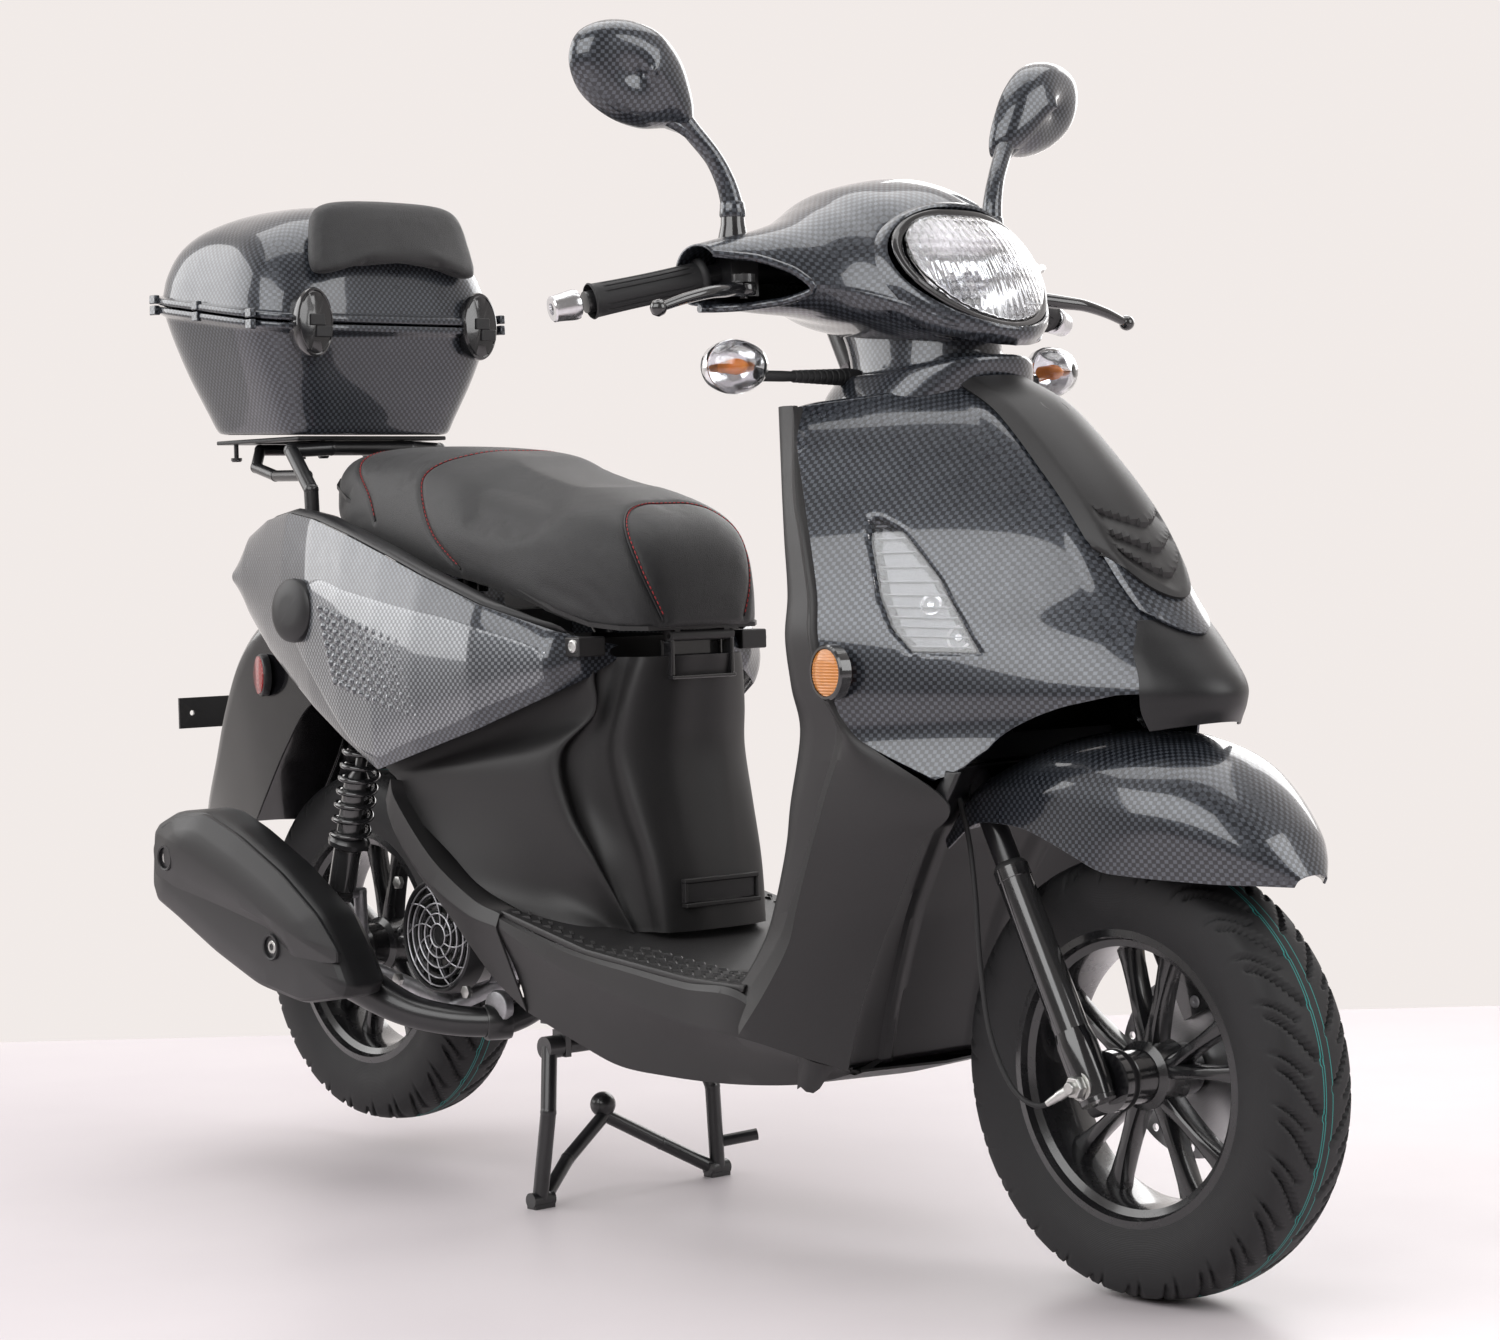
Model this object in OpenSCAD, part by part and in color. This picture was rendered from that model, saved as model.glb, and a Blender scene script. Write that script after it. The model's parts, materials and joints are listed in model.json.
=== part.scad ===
// Moped scooter with a top case, standing on its centre stand.
// +X is forward, +Y is the rider's left, +Z is up; the origin is under the middle of the scooter.

/* [Wheels] */
// Height of the front axle and radius of both tyres
tyre_r = 218.5; // [215:0.5:220]
// Width of both tyres
tyre_w = 104; // [96:1:108]
// Radius of the wheel rims over their lips
rim_r = 147; // [144:0.5:149]
// Distance of the front axle ahead of the origin
front_x = 698; // [696:1:702]
// Distance of the rear axle behind the origin
rear_x = 581; // [579:1:583]
// Height of the rear tyre above the ground on the centre stand
rear_lift = 36.5; // [30:0.5:40]

/* [Steering] */
// Angle of the steering axis from upright
rake = 27; // [26:0.5:28]
// Distance of the fork legs ahead of the steering axis
fork_offset = 30; // [28:1:32]
// Half the spacing of the fork legs
fork_half = 88; // [86:1:90]
// Radius of the fork sliders
slider_r = 17.5; // [16:0.5:18]
// Half the width over the handlebar ends

/* [Body] */
// Half the widest width of the front panel
shield_half = 223; // [215:1:230]
// Thickness of the moulded covers
skin = 3; // [2.5:0.5:4]
// Half the width of the top case at its flange
case_half = 192; // [185:1:198]
// Radius of the round steel tubes of the frame
frame_tube_r = 11; // [10:0.5:13]
// Radius of the round bars of the rack and the stand
bar_r = 9; // [8:0.5:10]

/* [Hidden] */
$fn = 48;

carbon = [0.20, 0.22, 0.26];
matte = [0.11, 0.11, 0.12];
gloss_black = [0.04, 0.04, 0.05];
steel_black = [0.07, 0.07, 0.08];
silver = [0.75, 0.75, 0.77];
clear = [0.85, 0.90, 0.95];

fit = 0.05;      // radial running clearance of every pivot
stem_r = 12.5;
stanchion_r = 13;
axle_r = 6;
steer_x = front_x - fork_offset / cos(rake);
rear_z = tyre_r + rear_lift;
tail_x = front_x + tyre_r;
swing_at = [-150, 0, 215];
stand_at = [-130, 0, 178];
seat_hinge_at = [30, 0, 644];
lid_hinge_at = [-524, 0, 1029];
case_tilt = 8;
shock_top = [-416, 130, 600];
shock_foot = [-500, 130, 332];

// ---------- shape helpers ----------

// A straight round bar from a to b
module rod(a, b, r) {
    d = b - a;
    translate(a)
        rotate([0, acos(d[2] / norm(d)), atan2(d[1], d[0])])
            cylinder(h = norm(d), r = r);
}

// A round bar bent through a list of points
module bent_bar(pts, r) {
    for (i = [0:len(pts) - 2])
        rod(pts[i], pts[i + 1], r);
    for (i = [1:len(pts) - 2])
        translate(pts[i])
            sphere(r + 0.4);
}

// A round bar across the scooter, from y0 to y1
module cross_bar(x, z, y0, y1, r) {
    translate([x, y0, z])
        rotate([-90, 0, 0])
            cylinder(h = y1 - y0, r = r);
}

module both_sides() {
    children();
    mirror([0, 1, 0])
        children();
}

// Places a child in the steering frame: local z runs up the steering axis
module in_steering() {
    translate([steer_x, 0, tyre_r])
        rotate([0, -rake, 0])
            children();
}

// Solid through equal rings of points, closed by a fan at each end; the rings are stacked
// against the direction that their points turn in
module loft(rings) {
    n = len(rings[0]);
    m = len(rings);
    walls = [for (i = [0:m - 2], j = [0:n - 1])
        each [[i * n + j, i * n + (j + 1) % n, (i + 1) * n + (j + 1) % n],
              [i * n + j, (i + 1) * n + (j + 1) % n, (i + 1) * n + j]]];
    low = [for (j = [1:n - 2]) [0, j + 1, j]];
    high = [for (j = [1:n - 2]) [(m - 1) * n, (m - 1) * n + j, (m - 1) * n + j + 1]];
    polyhedron([for (r = rings) each r], concat(walls, low, high));
}

// Shell through rings that run along an outer line and back along an inner one
module shell(rings) {
    n = len(rings[0]);
    m = len(rings);
    h = n / 2;
    walls = [for (i = [0:m - 2], j = [0:n - 1])
        each [[i * n + j, i * n + (j + 1) % n, (i + 1) * n + (j + 1) % n],
              [i * n + j, (i + 1) * n + (j + 1) % n, (i + 1) * n + j]]];
    low = [for (j = [0:h - 2]) each [[j, n - 2 - j, j + 1], [j, n - 1 - j, n - 2 - j]]];
    high = [for (f = low) [for (k = [2:-1:0]) f[k] + (m - 1) * n]];
    polyhedron([for (r = rings) each r], concat(walls, low, high));
}

arc_steps = 16;
function arc_line(front, side, round) = [for (i = [0:arc_steps])
    let (a = -90 + 180 * i / arc_steps, c = pow(cos(a), round))
    [side[0] + (front[0] - side[0]) * c, side[1] * sin(a), side[2] + (front[1] - side[2]) * c]];
function flip(line) = [for (i = [len(line) - 1:-1:0]) line[i]];

// Level ring of a cover that wraps round a front [x, z], back to a side [x, half width, z]
function wrap_ring(front, side, t, round = 0.8) = concat(
    arc_line(front, side, round),
    flip(arc_line([front[0] - t, front[1]], [side[0], side[1] - t, side[2]], round)));

// Upright ring of an arch at x: crown height, half width and drop of its sides
function arch_ring(x, crown, half, drop, t, lean = 0, square = 0.5) = concat(
    [for (i = [0:arc_steps]) let (a = -90 + 180 * i / arc_steps, c = 1 - pow(cos(a), square))
        [x - lean * c, half * sin(a), crown - drop * c]],
    [for (i = [arc_steps:-1:0]) let (a = -90 + 180 * i / arc_steps, c = 1 - pow(cos(a), square))
        [x - lean * c, (half - t) * sin(a), crown - t - drop * c]]);

// ---------- wheels ----------

module tyre_ring() {
    w = tyre_w / 2;
    bead = rim_r - 12;
    rotate([90, 0, 0])
        rotate_extrude($fn = 96)
            polygon([[bead, -w * 0.72], [rim_r + 8, -w * 0.93], [rim_r + 30, -w],
                [tyre_r - 22, -w * 0.94], [tyre_r - 9, -w * 0.72], [tyre_r - 2.5, -w * 0.4],
                [tyre_r, 0], [tyre_r - 2.5, w * 0.4], [tyre_r - 9, w * 0.72],
                [tyre_r - 22, w * 0.94], [rim_r + 30, w], [rim_r + 8, w * 0.93],
                [bead, w * 0.72], [bead, w * 0.5], [rim_r + 6, w * 0.62],
                [rim_r + 24, w * 0.7], [tyre_r - 26, w * 0.62], [tyre_r - 14, 0],
                [tyre_r - 26, -w * 0.62], [rim_r + 24, -w * 0.7], [rim_r + 6, -w * 0.62],
                [bead, -w * 0.5]]);
}

module cast_rim(hub_half, bore_r) {
    w = tyre_w * 0.36;
    spoke_pairs = 5;
    rotate([90, 0, 0])
        difference() {
            union() {
                rotate_extrude($fn = 96)
                    polygon([[rim_r - 26, -w - 8], [rim_r, -w - 8], [rim_r, -w - 2], [rim_r - 13, -w],
                        [rim_r - 13, w], [rim_r, w + 2], [rim_r, w + 8], [rim_r - 26, w + 8],
                        [rim_r - 22, w - 8], [rim_r - 21, 0], [rim_r - 22, 8 - w]]);
                translate([0, 0, -hub_half])
                    cylinder(h = 2 * hub_half, r = 30);
                for (i = [0:spoke_pairs - 1], s = [-1, 1])
                    rotate([0, 0, 90 + i * 360 / spoke_pairs + s * 14])
                        translate([26, -6, -11])
                            cube([rim_r - 44, 12, 22]);
            }
            translate([0, 0, -hub_half - 1])
                cylinder(h = 2 * hub_half + 2, r = bore_r);
        }
}

module front_tyre() {
    color(matte)
        translate([front_x, 0, tyre_r])
            tyre_ring();
}

module front_rim() {
    color(gloss_black)
        translate([front_x, 0, tyre_r])
            cast_rim(52, axle_r + fit);
}

module brake_disc() {
    holes = 20;
    color(silver)
        translate([front_x, 56.5, tyre_r])
            rotate([90, 0, 0])
                difference() {
                    cylinder(h = 4, r = 90);
                    translate([0, 0, -1])
                        cylinder(h = 6, r = axle_r + 4);
                    for (i = [0:holes - 1])
                        rotate([0, 0, i * 360 / holes])
                            translate([70 + 10 * (i % 2), 0, -1])
                                cylinder(h = 6, r = 4);
                }
}

module rear_tyre() {
    color(matte)
        translate([-rear_x, 0, rear_z])
            tyre_ring();
}

module rear_rim() {
    color(gloss_black)
        translate([-rear_x, 0, rear_z]) {
            cast_rim(50, axle_r);
            rotate([90, 0, 0])
                translate([0, 0, -64])
                    cylinder(h = 188, r = axle_r + 1);
            rotate([90, 0, 0])
                translate([0, 0, -56])
                    cylinder(h = 18, r = 72);
        }
}

// ---------- fork and steering ----------

module fork_lowers() {
    color(gloss_black) {
        in_steering()
            difference() {
                union() {
                    for (s = [-1, 1])
                        translate([fork_offset, s * fork_half, -34])
                            cylinder(h = 246, r = slider_r);
                    translate([fork_offset + 14, fork_half - 16, 30])
                        cube([20, 22, 46]);
                }
                for (s = [-1, 1])
                    translate([fork_offset, s * fork_half, 4])
                        cylinder(h = 300, r = stanchion_r + fit);
                translate([fork_offset + 10, 52, 40])
                    cube([50, 10, 60]);
            }
        cross_bar(front_x, tyre_r, -112, -53, axle_r + 3);
        cross_bar(front_x, tyre_r, -54, 70, axle_r);
        cross_bar(front_x, tyre_r, -69, -55, 30);
    }
    color(silver)
        in_steering()
            difference() {
                translate([fork_offset + 24, 42, 26])
                    cube([44, 32, 58]);
                translate([fork_offset + 4, 51, 0])
                    cube([80, 7, 90]);
            }
}

bridge_w = 322;
module steering_stem() {
    color(steel_black)
        in_steering() {
            for (s = [-1, 1])
                translate([fork_offset, s * fork_half, 62])
                    cylinder(h = bridge_w - 50, r = stanchion_r);
            translate([0, 0, bridge_w + 2])
                cylinder(h = 512, r = stem_r);
            difference() {
                translate([-20, -fork_half - 20, bridge_w])
                    cube([68, 2 * fork_half + 40, 26]);
                translate([fork_offset + 22, -50, bridge_w - 1])
                    cube([60, 100, 28]);
            }
        }
}

lever_pivot = [352, 205, 1000];
mirror_at = [316, 186, 1083];
bar_bend = [[300, 0, 940], [300, 0, 1010], [322, 120, 1022], [302, 190, 1020], [257, 333, 990]];
module handlebar() {
    color(steel_black) {
        both_sides()
            bent_bar([for (i = [1:4]) bar_bend[i]], 11);
        in_steering()
            difference() {
                translate([0, 0, 800])
                    cylinder(h = 74, r = stem_r + 9);
                translate([0, 0, 790])
                    cylinder(h = 80, r = stem_r);
            }
        both_sides()
            translate([318, 200, 1019])
                rotate([0, 0, 17])
                    translate([-20, -30, -24])
                        cube([36, 30, 46]);
        both_sides()
            rod([326, 188, 1015], [348, 201, 1012.5], 5);
        both_sides()
            translate([lever_pivot[0], lever_pivot[1], lever_pivot[2] + 7])
                cylinder(h = 8, r = 12);
        both_sides()
            translate([lever_pivot[0], lever_pivot[1], lever_pivot[2] - 9])
                cylinder(h = 16, r = 4 - fit);
        both_sides()
            translate([mirror_at[0], mirror_at[1], 1036])
                cylinder(h = 54, r = 5);
    }
    color(silver)
        both_sides()
            rod([254.5, 341, 988.5], [247, 365, 983.5], 13);
}

// A rubber grip round the bar, on the left when s = 1
grip_from = bar_bend[3] + 0.14 * (bar_bend[4] - bar_bend[3]);
grip_to = bar_bend[3] + 0.965 * (bar_bend[4] - bar_bend[3]);
module grip(s, bore) {
    a = [grip_from[0], s * grip_from[1], grip_from[2]];
    b = [grip_to[0], s * grip_to[1], grip_to[2]];
    d = (b - a) / norm(b - a);
    difference() {
        union() {
            rod(a, b, 16);
            rod(a, a + d * 8, 20);
        }
        rod(a - d * 5, b + d * 5, bore);
    }
}

module left_grip() {
    color(matte)
        grip(1, 11);
}

module throttle_grip() {
    color(matte)
        grip(-1, 11 + 6 * fit);
}

module brake_lever(s) {
    p = [lever_pivot[0], s * lever_pivot[1], lever_pivot[2]];
    color(gloss_black)
        difference() {
            union() {
                translate(p - [0, 0, 5])
                    cylinder(h = 10, r = 11);
                rod(p + [4, s * 4, 0], p + [22, s * 62, -6], 6);
                rod(p + [22, s * 62, -6], p + [22, s * 126, -22], 5);
                translate(p + [22, s * 130, -23])
                    sphere(8);
                translate(p + [22, s * 62, -6])
                    sphere(6.8);
            }
            translate(p - [0, 0, 9])
                cylinder(h = 18, r = 4);
        }
}

module brake_lever_right() {
    brake_lever(-1);
}

module brake_lever_left() {
    brake_lever(1);
}

// Superellipse ring in the steering frame at height w
function oval(w, uc, ul, vl, n = 28, e = 0.8) = [for (i = [0:n - 1])
    let (a = 360 * i / n, c = cos(a), s = sin(a))
    [uc + ul * sign(c) * pow(abs(c), e), vl * sign(s) * pow(abs(s), e), w]];

// Ring round the nacelle at y: centre x, z and half length, half height
function pod_ring(y, x, z, l, h, n = 24) = [for (i = [0:n - 1])
    let (a = 360 * i / n)
    [x + l * cos(a), y, z + h * sin(a)]];

module nacelle() {
    color(carbon)
        difference() {
            loft([pod_ring(-232, 300, 1022, 46, 40), pod_ring(-186, 326, 1034, 56, 44),
                pod_ring(-120, 352, 1038, 90, 62), pod_ring(-60, 372, 1036, 140, 76),
                pod_ring(0, 378, 1034, 156, 81), pod_ring(60, 372, 1036, 140, 76),
                pod_ring(120, 352, 1038, 90, 62), pod_ring(186, 326, 1034, 56, 44),
                pod_ring(232, 300, 1022, 46, 40)]);
            loft([pod_ring(-233, 300, 1022, 43, 37), pod_ring(-186, 326, 1034, 53, 41),
                pod_ring(-120, 352, 1038, 87, 59), pod_ring(-60, 372, 1036, 137, 73),
                pod_ring(0, 378, 1034, 153, 78), pod_ring(60, 372, 1036, 137, 73),
                pod_ring(120, 352, 1038, 87, 59), pod_ring(186, 326, 1034, 53, 41),
                pod_ring(233, 300, 1022, 43, 37)]);
            in_steering()
                translate([-60, -260, 700])
                    cube([400, 520, 62]);
            translate([322, -260, 974])
                cube([90, 120, 44]);
            translate([322, 140, 974])
                cube([90, 120, 44]);
            translate([490, 0, 1018])
                rotate([0, 56, 0])
                    cylinder(h = 120, r = 96, center = true);
            both_sides()
                translate([mirror_at[0], mirror_at[1], 1050])
                    cylinder(h = 50, r = 7);
        }
}

module headlight() {
    color(clear)
        translate([474, 0, 1007])
            rotate([0, 56, 0])
                intersection() {
                    translate([0, 0, -200])
                        sphere(228, $fn = 64);
                    translate([0, 0, -2])
                        cylinder(h = 40, r1 = 90, r2 = 82);
                }
}

fender_line = [[905, 425, 24, 10], [878, 473, 60, 32], [806, 535, 96, 66], [707, 556, 112, 86],
    [620, 545, 114, 86], [548, 508, 112, 70], [514, 458, 106, 46]];
module front_fender() {
    color(carbon)
        shell([for (k = [len(fender_line) - 1:-1:0])
            let (s = fender_line[k])
            arch_ring(s[0], s[1], s[2], s[3], skin, lean = (s[0] - front_x) * s[3] / 330)]);
}

module mirror_arm(s) {
    color(gloss_black) {
        difference() {
            translate([mirror_at[0], s * mirror_at[1], mirror_at[2]])
                cylinder(h = 20, r = 10);
            translate([mirror_at[0], s * mirror_at[1], mirror_at[2] - 1])
                cylinder(h = 12, r = 5 + fit);
        }
        rod([316, s * 186, 1098], [309, s * 200, 1130], 7);
        rod([309, s * 200, 1130], [292, s * 236, 1180], 7);
        translate([309, s * 200, 1130])
            sphere(8);
    }
    color(carbon)
        hull() {
            translate([290, s * 238, 1178])
                sphere(9, $fn = 24);
            translate([284, s * 262, 1212])
                rotate([0, 84, 0])
                    cylinder(h = 22, r = 22, center = true, $fn = 32);
            translate([282, s * 302, 1222])
                rotate([0, 84, 0])
                    cylinder(h = 24, r = 40, center = true, $fn = 32);
            translate([282, s * 318, 1232])
                rotate([0, 84, 0])
                    cylinder(h = 18, r = 32, center = true, $fn = 32);
        }
}

module mirror_right() {
    mirror_arm(-1);
}

module mirror_left() {
    mirror_arm(1);
}

// Small controls on the inner faces of the two grips
module starter_button() {
    color(gloss_black)
        translate([266, -194, 1004])
            rotate([0, -90, 0])
                cylinder(h = 12, r = 6);
}

module horn_button() {
    color(gloss_black)
        translate([266, 194, 998])
            rotate([0, -90, 0])
                cylinder(h = 12, r = 6);
}

module turn_switch() {
    color(gloss_black)
        translate([251, 189, 1010])
            cube([10, 12, 6]);
}

module beam_switch() {
    color(gloss_black)
        translate([251, 189, 1022])
            cube([10, 12, 6]);
}

module speedo_cable() {
    route = [[690, -117, 214], [668, -130, 200], [636, -133, 214], [606, -132, 262], [590, -128, 330],
        [583, -126, 400], [572, -122, 450], [556, -118, 490]];
    function ring(i) =
        let (d = route[min(i + 1, len(route) - 1)] - route[max(i - 1, 0)], t = d / norm(d),
            a = cross(t, [0, 1, 0]) / norm(cross(t, [0, 1, 0])), b = cross(a, t))
        [for (k = [0:7]) route[i] + 2.6 * (cos(k * 45) * a + sin(k * 45) * b)];
    color(steel_black)
        loft([for (i = [0:len(route) - 1]) ring(i)]);
}

// ---------- frame ----------

head_low = 392;
head_high = 610;
module main_frame() {
    color(steel_black)
        difference() {
            union() {
                in_steering()
                    translate([0, 0, head_low])
                        cylinder(h = head_high - head_low, r = 23);
                bent_bar([[448, 0, 632], [398, 0, 440], [396, 0, 320], [352, 0, 222], [250, 0, 206]], 20);
                cross_bar(254, 206, -96, 96, frame_tube_r);
                both_sides()
                    bent_bar([[254, 95, 206], [-60, 95, 222], [-124, 95, 240]], frame_tube_r);
                cross_bar(20, 216, -95, 95, frame_tube_r);
                both_sides()
                    translate([swing_at[0] - 14, 82, swing_at[2] - 14])
                        cube([50, 8, 44]);
                both_sides()
                    translate([stand_at[0] - 12, 82, stand_at[2] - 12])
                        cube([24, 8, 30]);
            }
            in_steering()
                translate([0, 0, head_low - 80])
                    cylinder(h = head_high - head_low + 200, r = stem_r + fit);
            cross_bar(swing_at[0], swing_at[2], -120, 120, 8 + fit);
            cross_bar(stand_at[0], stand_at[2], -120, 120, 6 + fit);
        }
}

module rear_frame() {
    color(steel_black) {
        both_sides()
            bent_bar([[-124, 95, 252], [-146, 126, 400], [-170, 128, 500], [-345, 128, 690],
                [-548, 116, 742], [-700, 80, 752]], frame_tube_r);
        cross_bar(-690, 751, -79, 79, frame_tube_r - 2);
        both_sides()
            translate([shock_top[0], shock_top[1], shock_top[2]])
                rotate([90, 0, 0])
                    translate([0, 0, -20])
                        cylinder(h = 28, r = 6);
        both_sides() {
            translate([shock_top[0] - 7, shock_top[1] + 10, shock_top[2] - 7])
                cube([14, 8, 118]);
            translate([shock_top[0] - 7, shock_top[1] - 16, 700])
                cube([14, 34, 11]);
        }
    }
}

// ---------- body covers ----------

// Levels of the front panel: front x, front z, side x, half width, side z
panel_levels = [[514, 898, 370, 150, 880], [574, 868, 388, 168, 846], [637, 812, 414, 184, 796],
    [688, 754, 440, 200, 747], [733, 682, 464, 214, 692], [770, 638, 474, shield_half, 649],
    [800, 602, 486, 219, 600], [802, 584, 505, 206, 556], [790, 566, 590, 180, 514]];

// Share of the way from side to front at u half widths off centre: flat sides meet in a rounded keel
keel_round = 0.55;
function keel(u) = 1 - (sqrt(u * u + pow(keel_round, 2)) - keel_round) / (sqrt(1 + pow(keel_round, 2)) - keel_round);
function keel_line(front, side) = [for (i = [0:arc_steps])
    let (u = 2 * i / arc_steps - 1, k = keel(abs(u)))
    [side[0] + (front[0] - side[0]) * k, side[1] * u, side[2] + (front[1] - side[2]) * k]];
function keel_ring(front, side, t) = concat(
    keel_line(front, side),
    flip(keel_line([front[0] - t, front[1]], [side[0] - 1, side[1] - t, side[2]])));

module front_panel() {
    color(carbon)
        shell([for (r = panel_levels) keel_ring([r[0], r[1]], [r[2], r[3], r[4]], skin)]);
}

// Ring of the centre insert on a level of the front panel, out to a share of its half width
function insert_ring(r, share, out) = [for (s = [1, -1], i = [0:8])
    let (u = s * (i / 4 - 1) * share, k = keel(abs(u)))
    [r[2] + (r[0] - r[2]) * k + (s > 0 ? out : 0.8), r[3] * u, r[4] + (r[1] - r[4]) * k]];
module panel_insert() {
    color(matte) {
        shell([for (i = [0:4])
            insert_ring(panel_levels[i], [0.30, 0.29, 0.285, 0.27, 0.22][i], [5, 6, 7, 7, 5][i])]);
        translate([590, 0, 872])
            rotate([0, 44, 0])
                cylinder(h = 5, r = 17);
        both_sides()
            translate([-505, 196, 672])
                rotate([-90, 0, 0])
                    cylinder(h = 8, r = 27);
    }
}

module neck_cowl() {
    color(carbon)
        in_steering()
            difference() {
                union() {
                    loft([oval(756, 74, 106, 54), oval(694, 78, 110, 66), oval(640, 76, 114, 76)]);
                }
                loft([oval(757, 74, 103, 51), oval(694, 78, 107, 63), oval(639, 76, 111, 73)]);
            }
}

module marker_lamps() {
    color(clear)
        both_sides()
            hull() {
                translate([524, 170, 706])
                    rotate([0, 90, 48])
                        cylinder(h = 6, r = 6, $fn = 24);
                translate([576, 173, 600])
                    rotate([0, 90, 48])
                        cylinder(h = 6, r = 9, $fn = 24);
                translate([636, 138, 600])
                    rotate([0, 90, 38])
                        cylinder(h = 6, r = 9, $fn = 24);
            }
}

// Plan of the open pocket behind the leg shield, drawn in by t
module glove_outline(t) {
    polygon([[353 - t, -124 + t], [344 + t, -124 + t], [290 + t, -66 + t], [290 + t, 66 - t],
        [344 + t, 124 - t], [353 - t, 124 - t]]);
}

module leg_shield() {
    rings = [[884, 366, 148, 66], [796, 410, 182, 68], [747, 436, 197, 84], [692, 460, 211, 100],
        [649, 470, 219, 112], [600, 482, 215, 128], [553, 500, 202, 154], [500, 560, 176, 232],
        [430, 530, 172, 236], [370, 500, 168, 236], [326, 474, 165, 216]];
    color(matte) {
        shell([for (k = [len(rings) - 1:-1:0])
            let (r = rings[k], front = r[1] - r[3])
            concat(arc_line([front, r[0]], [r[1], r[2], r[0]], 0.55),
                flip(arc_line([front + skin, r[0]], [r[1], r[2] - skin, r[0]], 0.55)))]);
        translate([0, 0, 634])
            difference() {
                linear_extrude(height = 88)
                    glove_outline(0);
                translate([0, 0, skin])
                    linear_extrude(height = 90)
                        glove_outline(skin);
            }
    }
}

module wheel_liner() {
    color(gloss_black)
        rotate([90, 0, 0])
            translate([0, 0, -150])
                linear_extrude(height = 300)
                        polygon([[436, 190], [440, 190], [440, 440], [438, 476], [434, 476], [436, 440]]);
}

// Cross-section of the belly at x: half widths at floor and base, heights at floor and base
function tub_ring(x, top_half, low_half, top, low) = concat(
    [[x, -top_half, top], [x, -low_half - 8, low + 30], [x, -low_half + 20, low], [x, 0, low - 4],
        [x, low_half - 20, low], [x, low_half + 8, low + 30], [x, top_half, top]],
    [[x, top_half - skin, top], [x, low_half + 8 - skin, low + 32], [x, low_half - 22, low + skin],
        [x, 0, low - 4 + skin], [x, 22 - low_half, low + skin], [x, skin - 8 - low_half, low + 32],
        [x, skin - top_half, top]]);

module lower_fairing() {
    color(matte) {
        shell([tub_ring(434, 150, 108, 312, 206), tub_ring(380, 168, 126, 318, 176),
            tub_ring(290, 178, 140, 294, 164), tub_ring(80, 190, 148, 300, 178),
            tub_ring(-64, 190, 148, 318, 196)]);
        both_sides()
            rotate([90, 0, 0])
                translate([0, 0, -190])
                    linear_extrude(height = skin)
                        polygon([[-66, 200], [-66, 322], [-160, 352], [-300, 438], [-322, 454], [-300, 400],
                            [-200, 290], [-120, 232]]);
    }
}

module floorboard() {
    color(matte) {
        translate([0, 0, 304])
            linear_extrude(height = 5)
                polygon([for (s = [1, -1], i = [0:4])
                    let (k = s > 0 ? i : 4 - i)
                    [[318, 150], [250, 172], [60, 184], [-60, 186], [-62, 60]][k]
                        - (s > 0 ? [0, 0] : [0, 2 * [150, 172, 184, 186, 60][k]])]);
        both_sides()
            rotate([90, 0, 0])
                translate([0, 0, -186])
                    linear_extrude(height = 18)
                        polygon([[-58, 322], [-58, 326], [-160, 358], [-300, 444], [-318, 458], [-316, 452],
                            [-300, 438], [-160, 353]]);
    }
}

module seat_box_cover() {
    color(matte)
        shell([wrap_ring([58, 312], [-80, 158, 330], skin, 0.9),
            wrap_ring([56, 350], [-160, 166, 362], skin, 0.9),
            wrap_ring([46, 415], [-290, 166, 444], skin, 0.9),
            wrap_ring([24, 520], [-330, 172, 480], skin, 0.9),
            wrap_ring([34, 600], [-336, 176, 492], skin, 0.9),
            wrap_ring([38, 620], [-338, 178, 500], skin, 0.9)]);
}

function panel_ring(x, low, high, y) = concat(
    [for (i = [0:6]) [x, -y + skin + 26 * pow(i / 3 - 1, 2), low + (high - low) * i / 6]],
    [for (i = [6:-1:0]) [x, -y + 26 * pow(i / 3 - 1, 2), low + (high - low) * i / 6]]);
panel_line = [[46, 622, 632, 172], [-60, 590, 672, 190], [-190, 551, 714, 200], [-341, 506, 754, 206],
    [-440, 556, 772, 202], [-540, 612, 784, 192], [-630, 656, 766, 168], [-719, 706, 722, 140]];

module side_panel_right() {
    color(carbon)
        shell([for (p = panel_line) panel_ring(p[0], p[1], p[2], p[3])]);
}

module side_panel_left() {
    mirror([0, 1, 0])
        side_panel_right();
}

module tail_lamp() {
    color([0.65, 0.05, 0.05]) {
        hull() {
            translate([-752, -70, 716])
                sphere(10, $fn = 20);
            translate([-752, 70, 716])
                sphere(10, $fn = 20);
            translate([-726, -84, 752])
                sphere(10, $fn = 20);
            translate([-726, 84, 752])
                sphere(10, $fn = 20);
        }
        both_sides()
            translate([-690, 104, 594])
                rotate([-90, 0, -20])
                    cylinder(h = 8, r = 25);
    }
}

module rear_fender() {
    color(matte) {
        shell([arch_ring(-880, 400, 70, 10, skin, -22), arch_ring(-856, 470, 82, 40, skin, -22),
            arch_ring(-810, 560, 92, 90, skin, -6), arch_ring(-740, 640, 100, 110, skin, 10),
            arch_ring(-640, 668, 100, 84, skin), arch_ring(-560, 652, 92, 60, skin)]);
        translate([-712, -60, 660])
            cube([20, 120, 84]);
    }
}

module plate_bracket() {
    color(steel_black)
        difference() {
            union() {
                translate([-tail_x, -92, 520])
                    cube([3, 184, 40]);
                translate([-tail_x + 1, -20, 526])
                    cube([90, 40, 3]);
            }
            for (s = [-1, 1])
                translate([-tail_x - 5, s * 73, 540])
                    rotate([0, 90, 0])
                        cylinder(h = 20, r = 3.5);
        }
}

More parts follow.
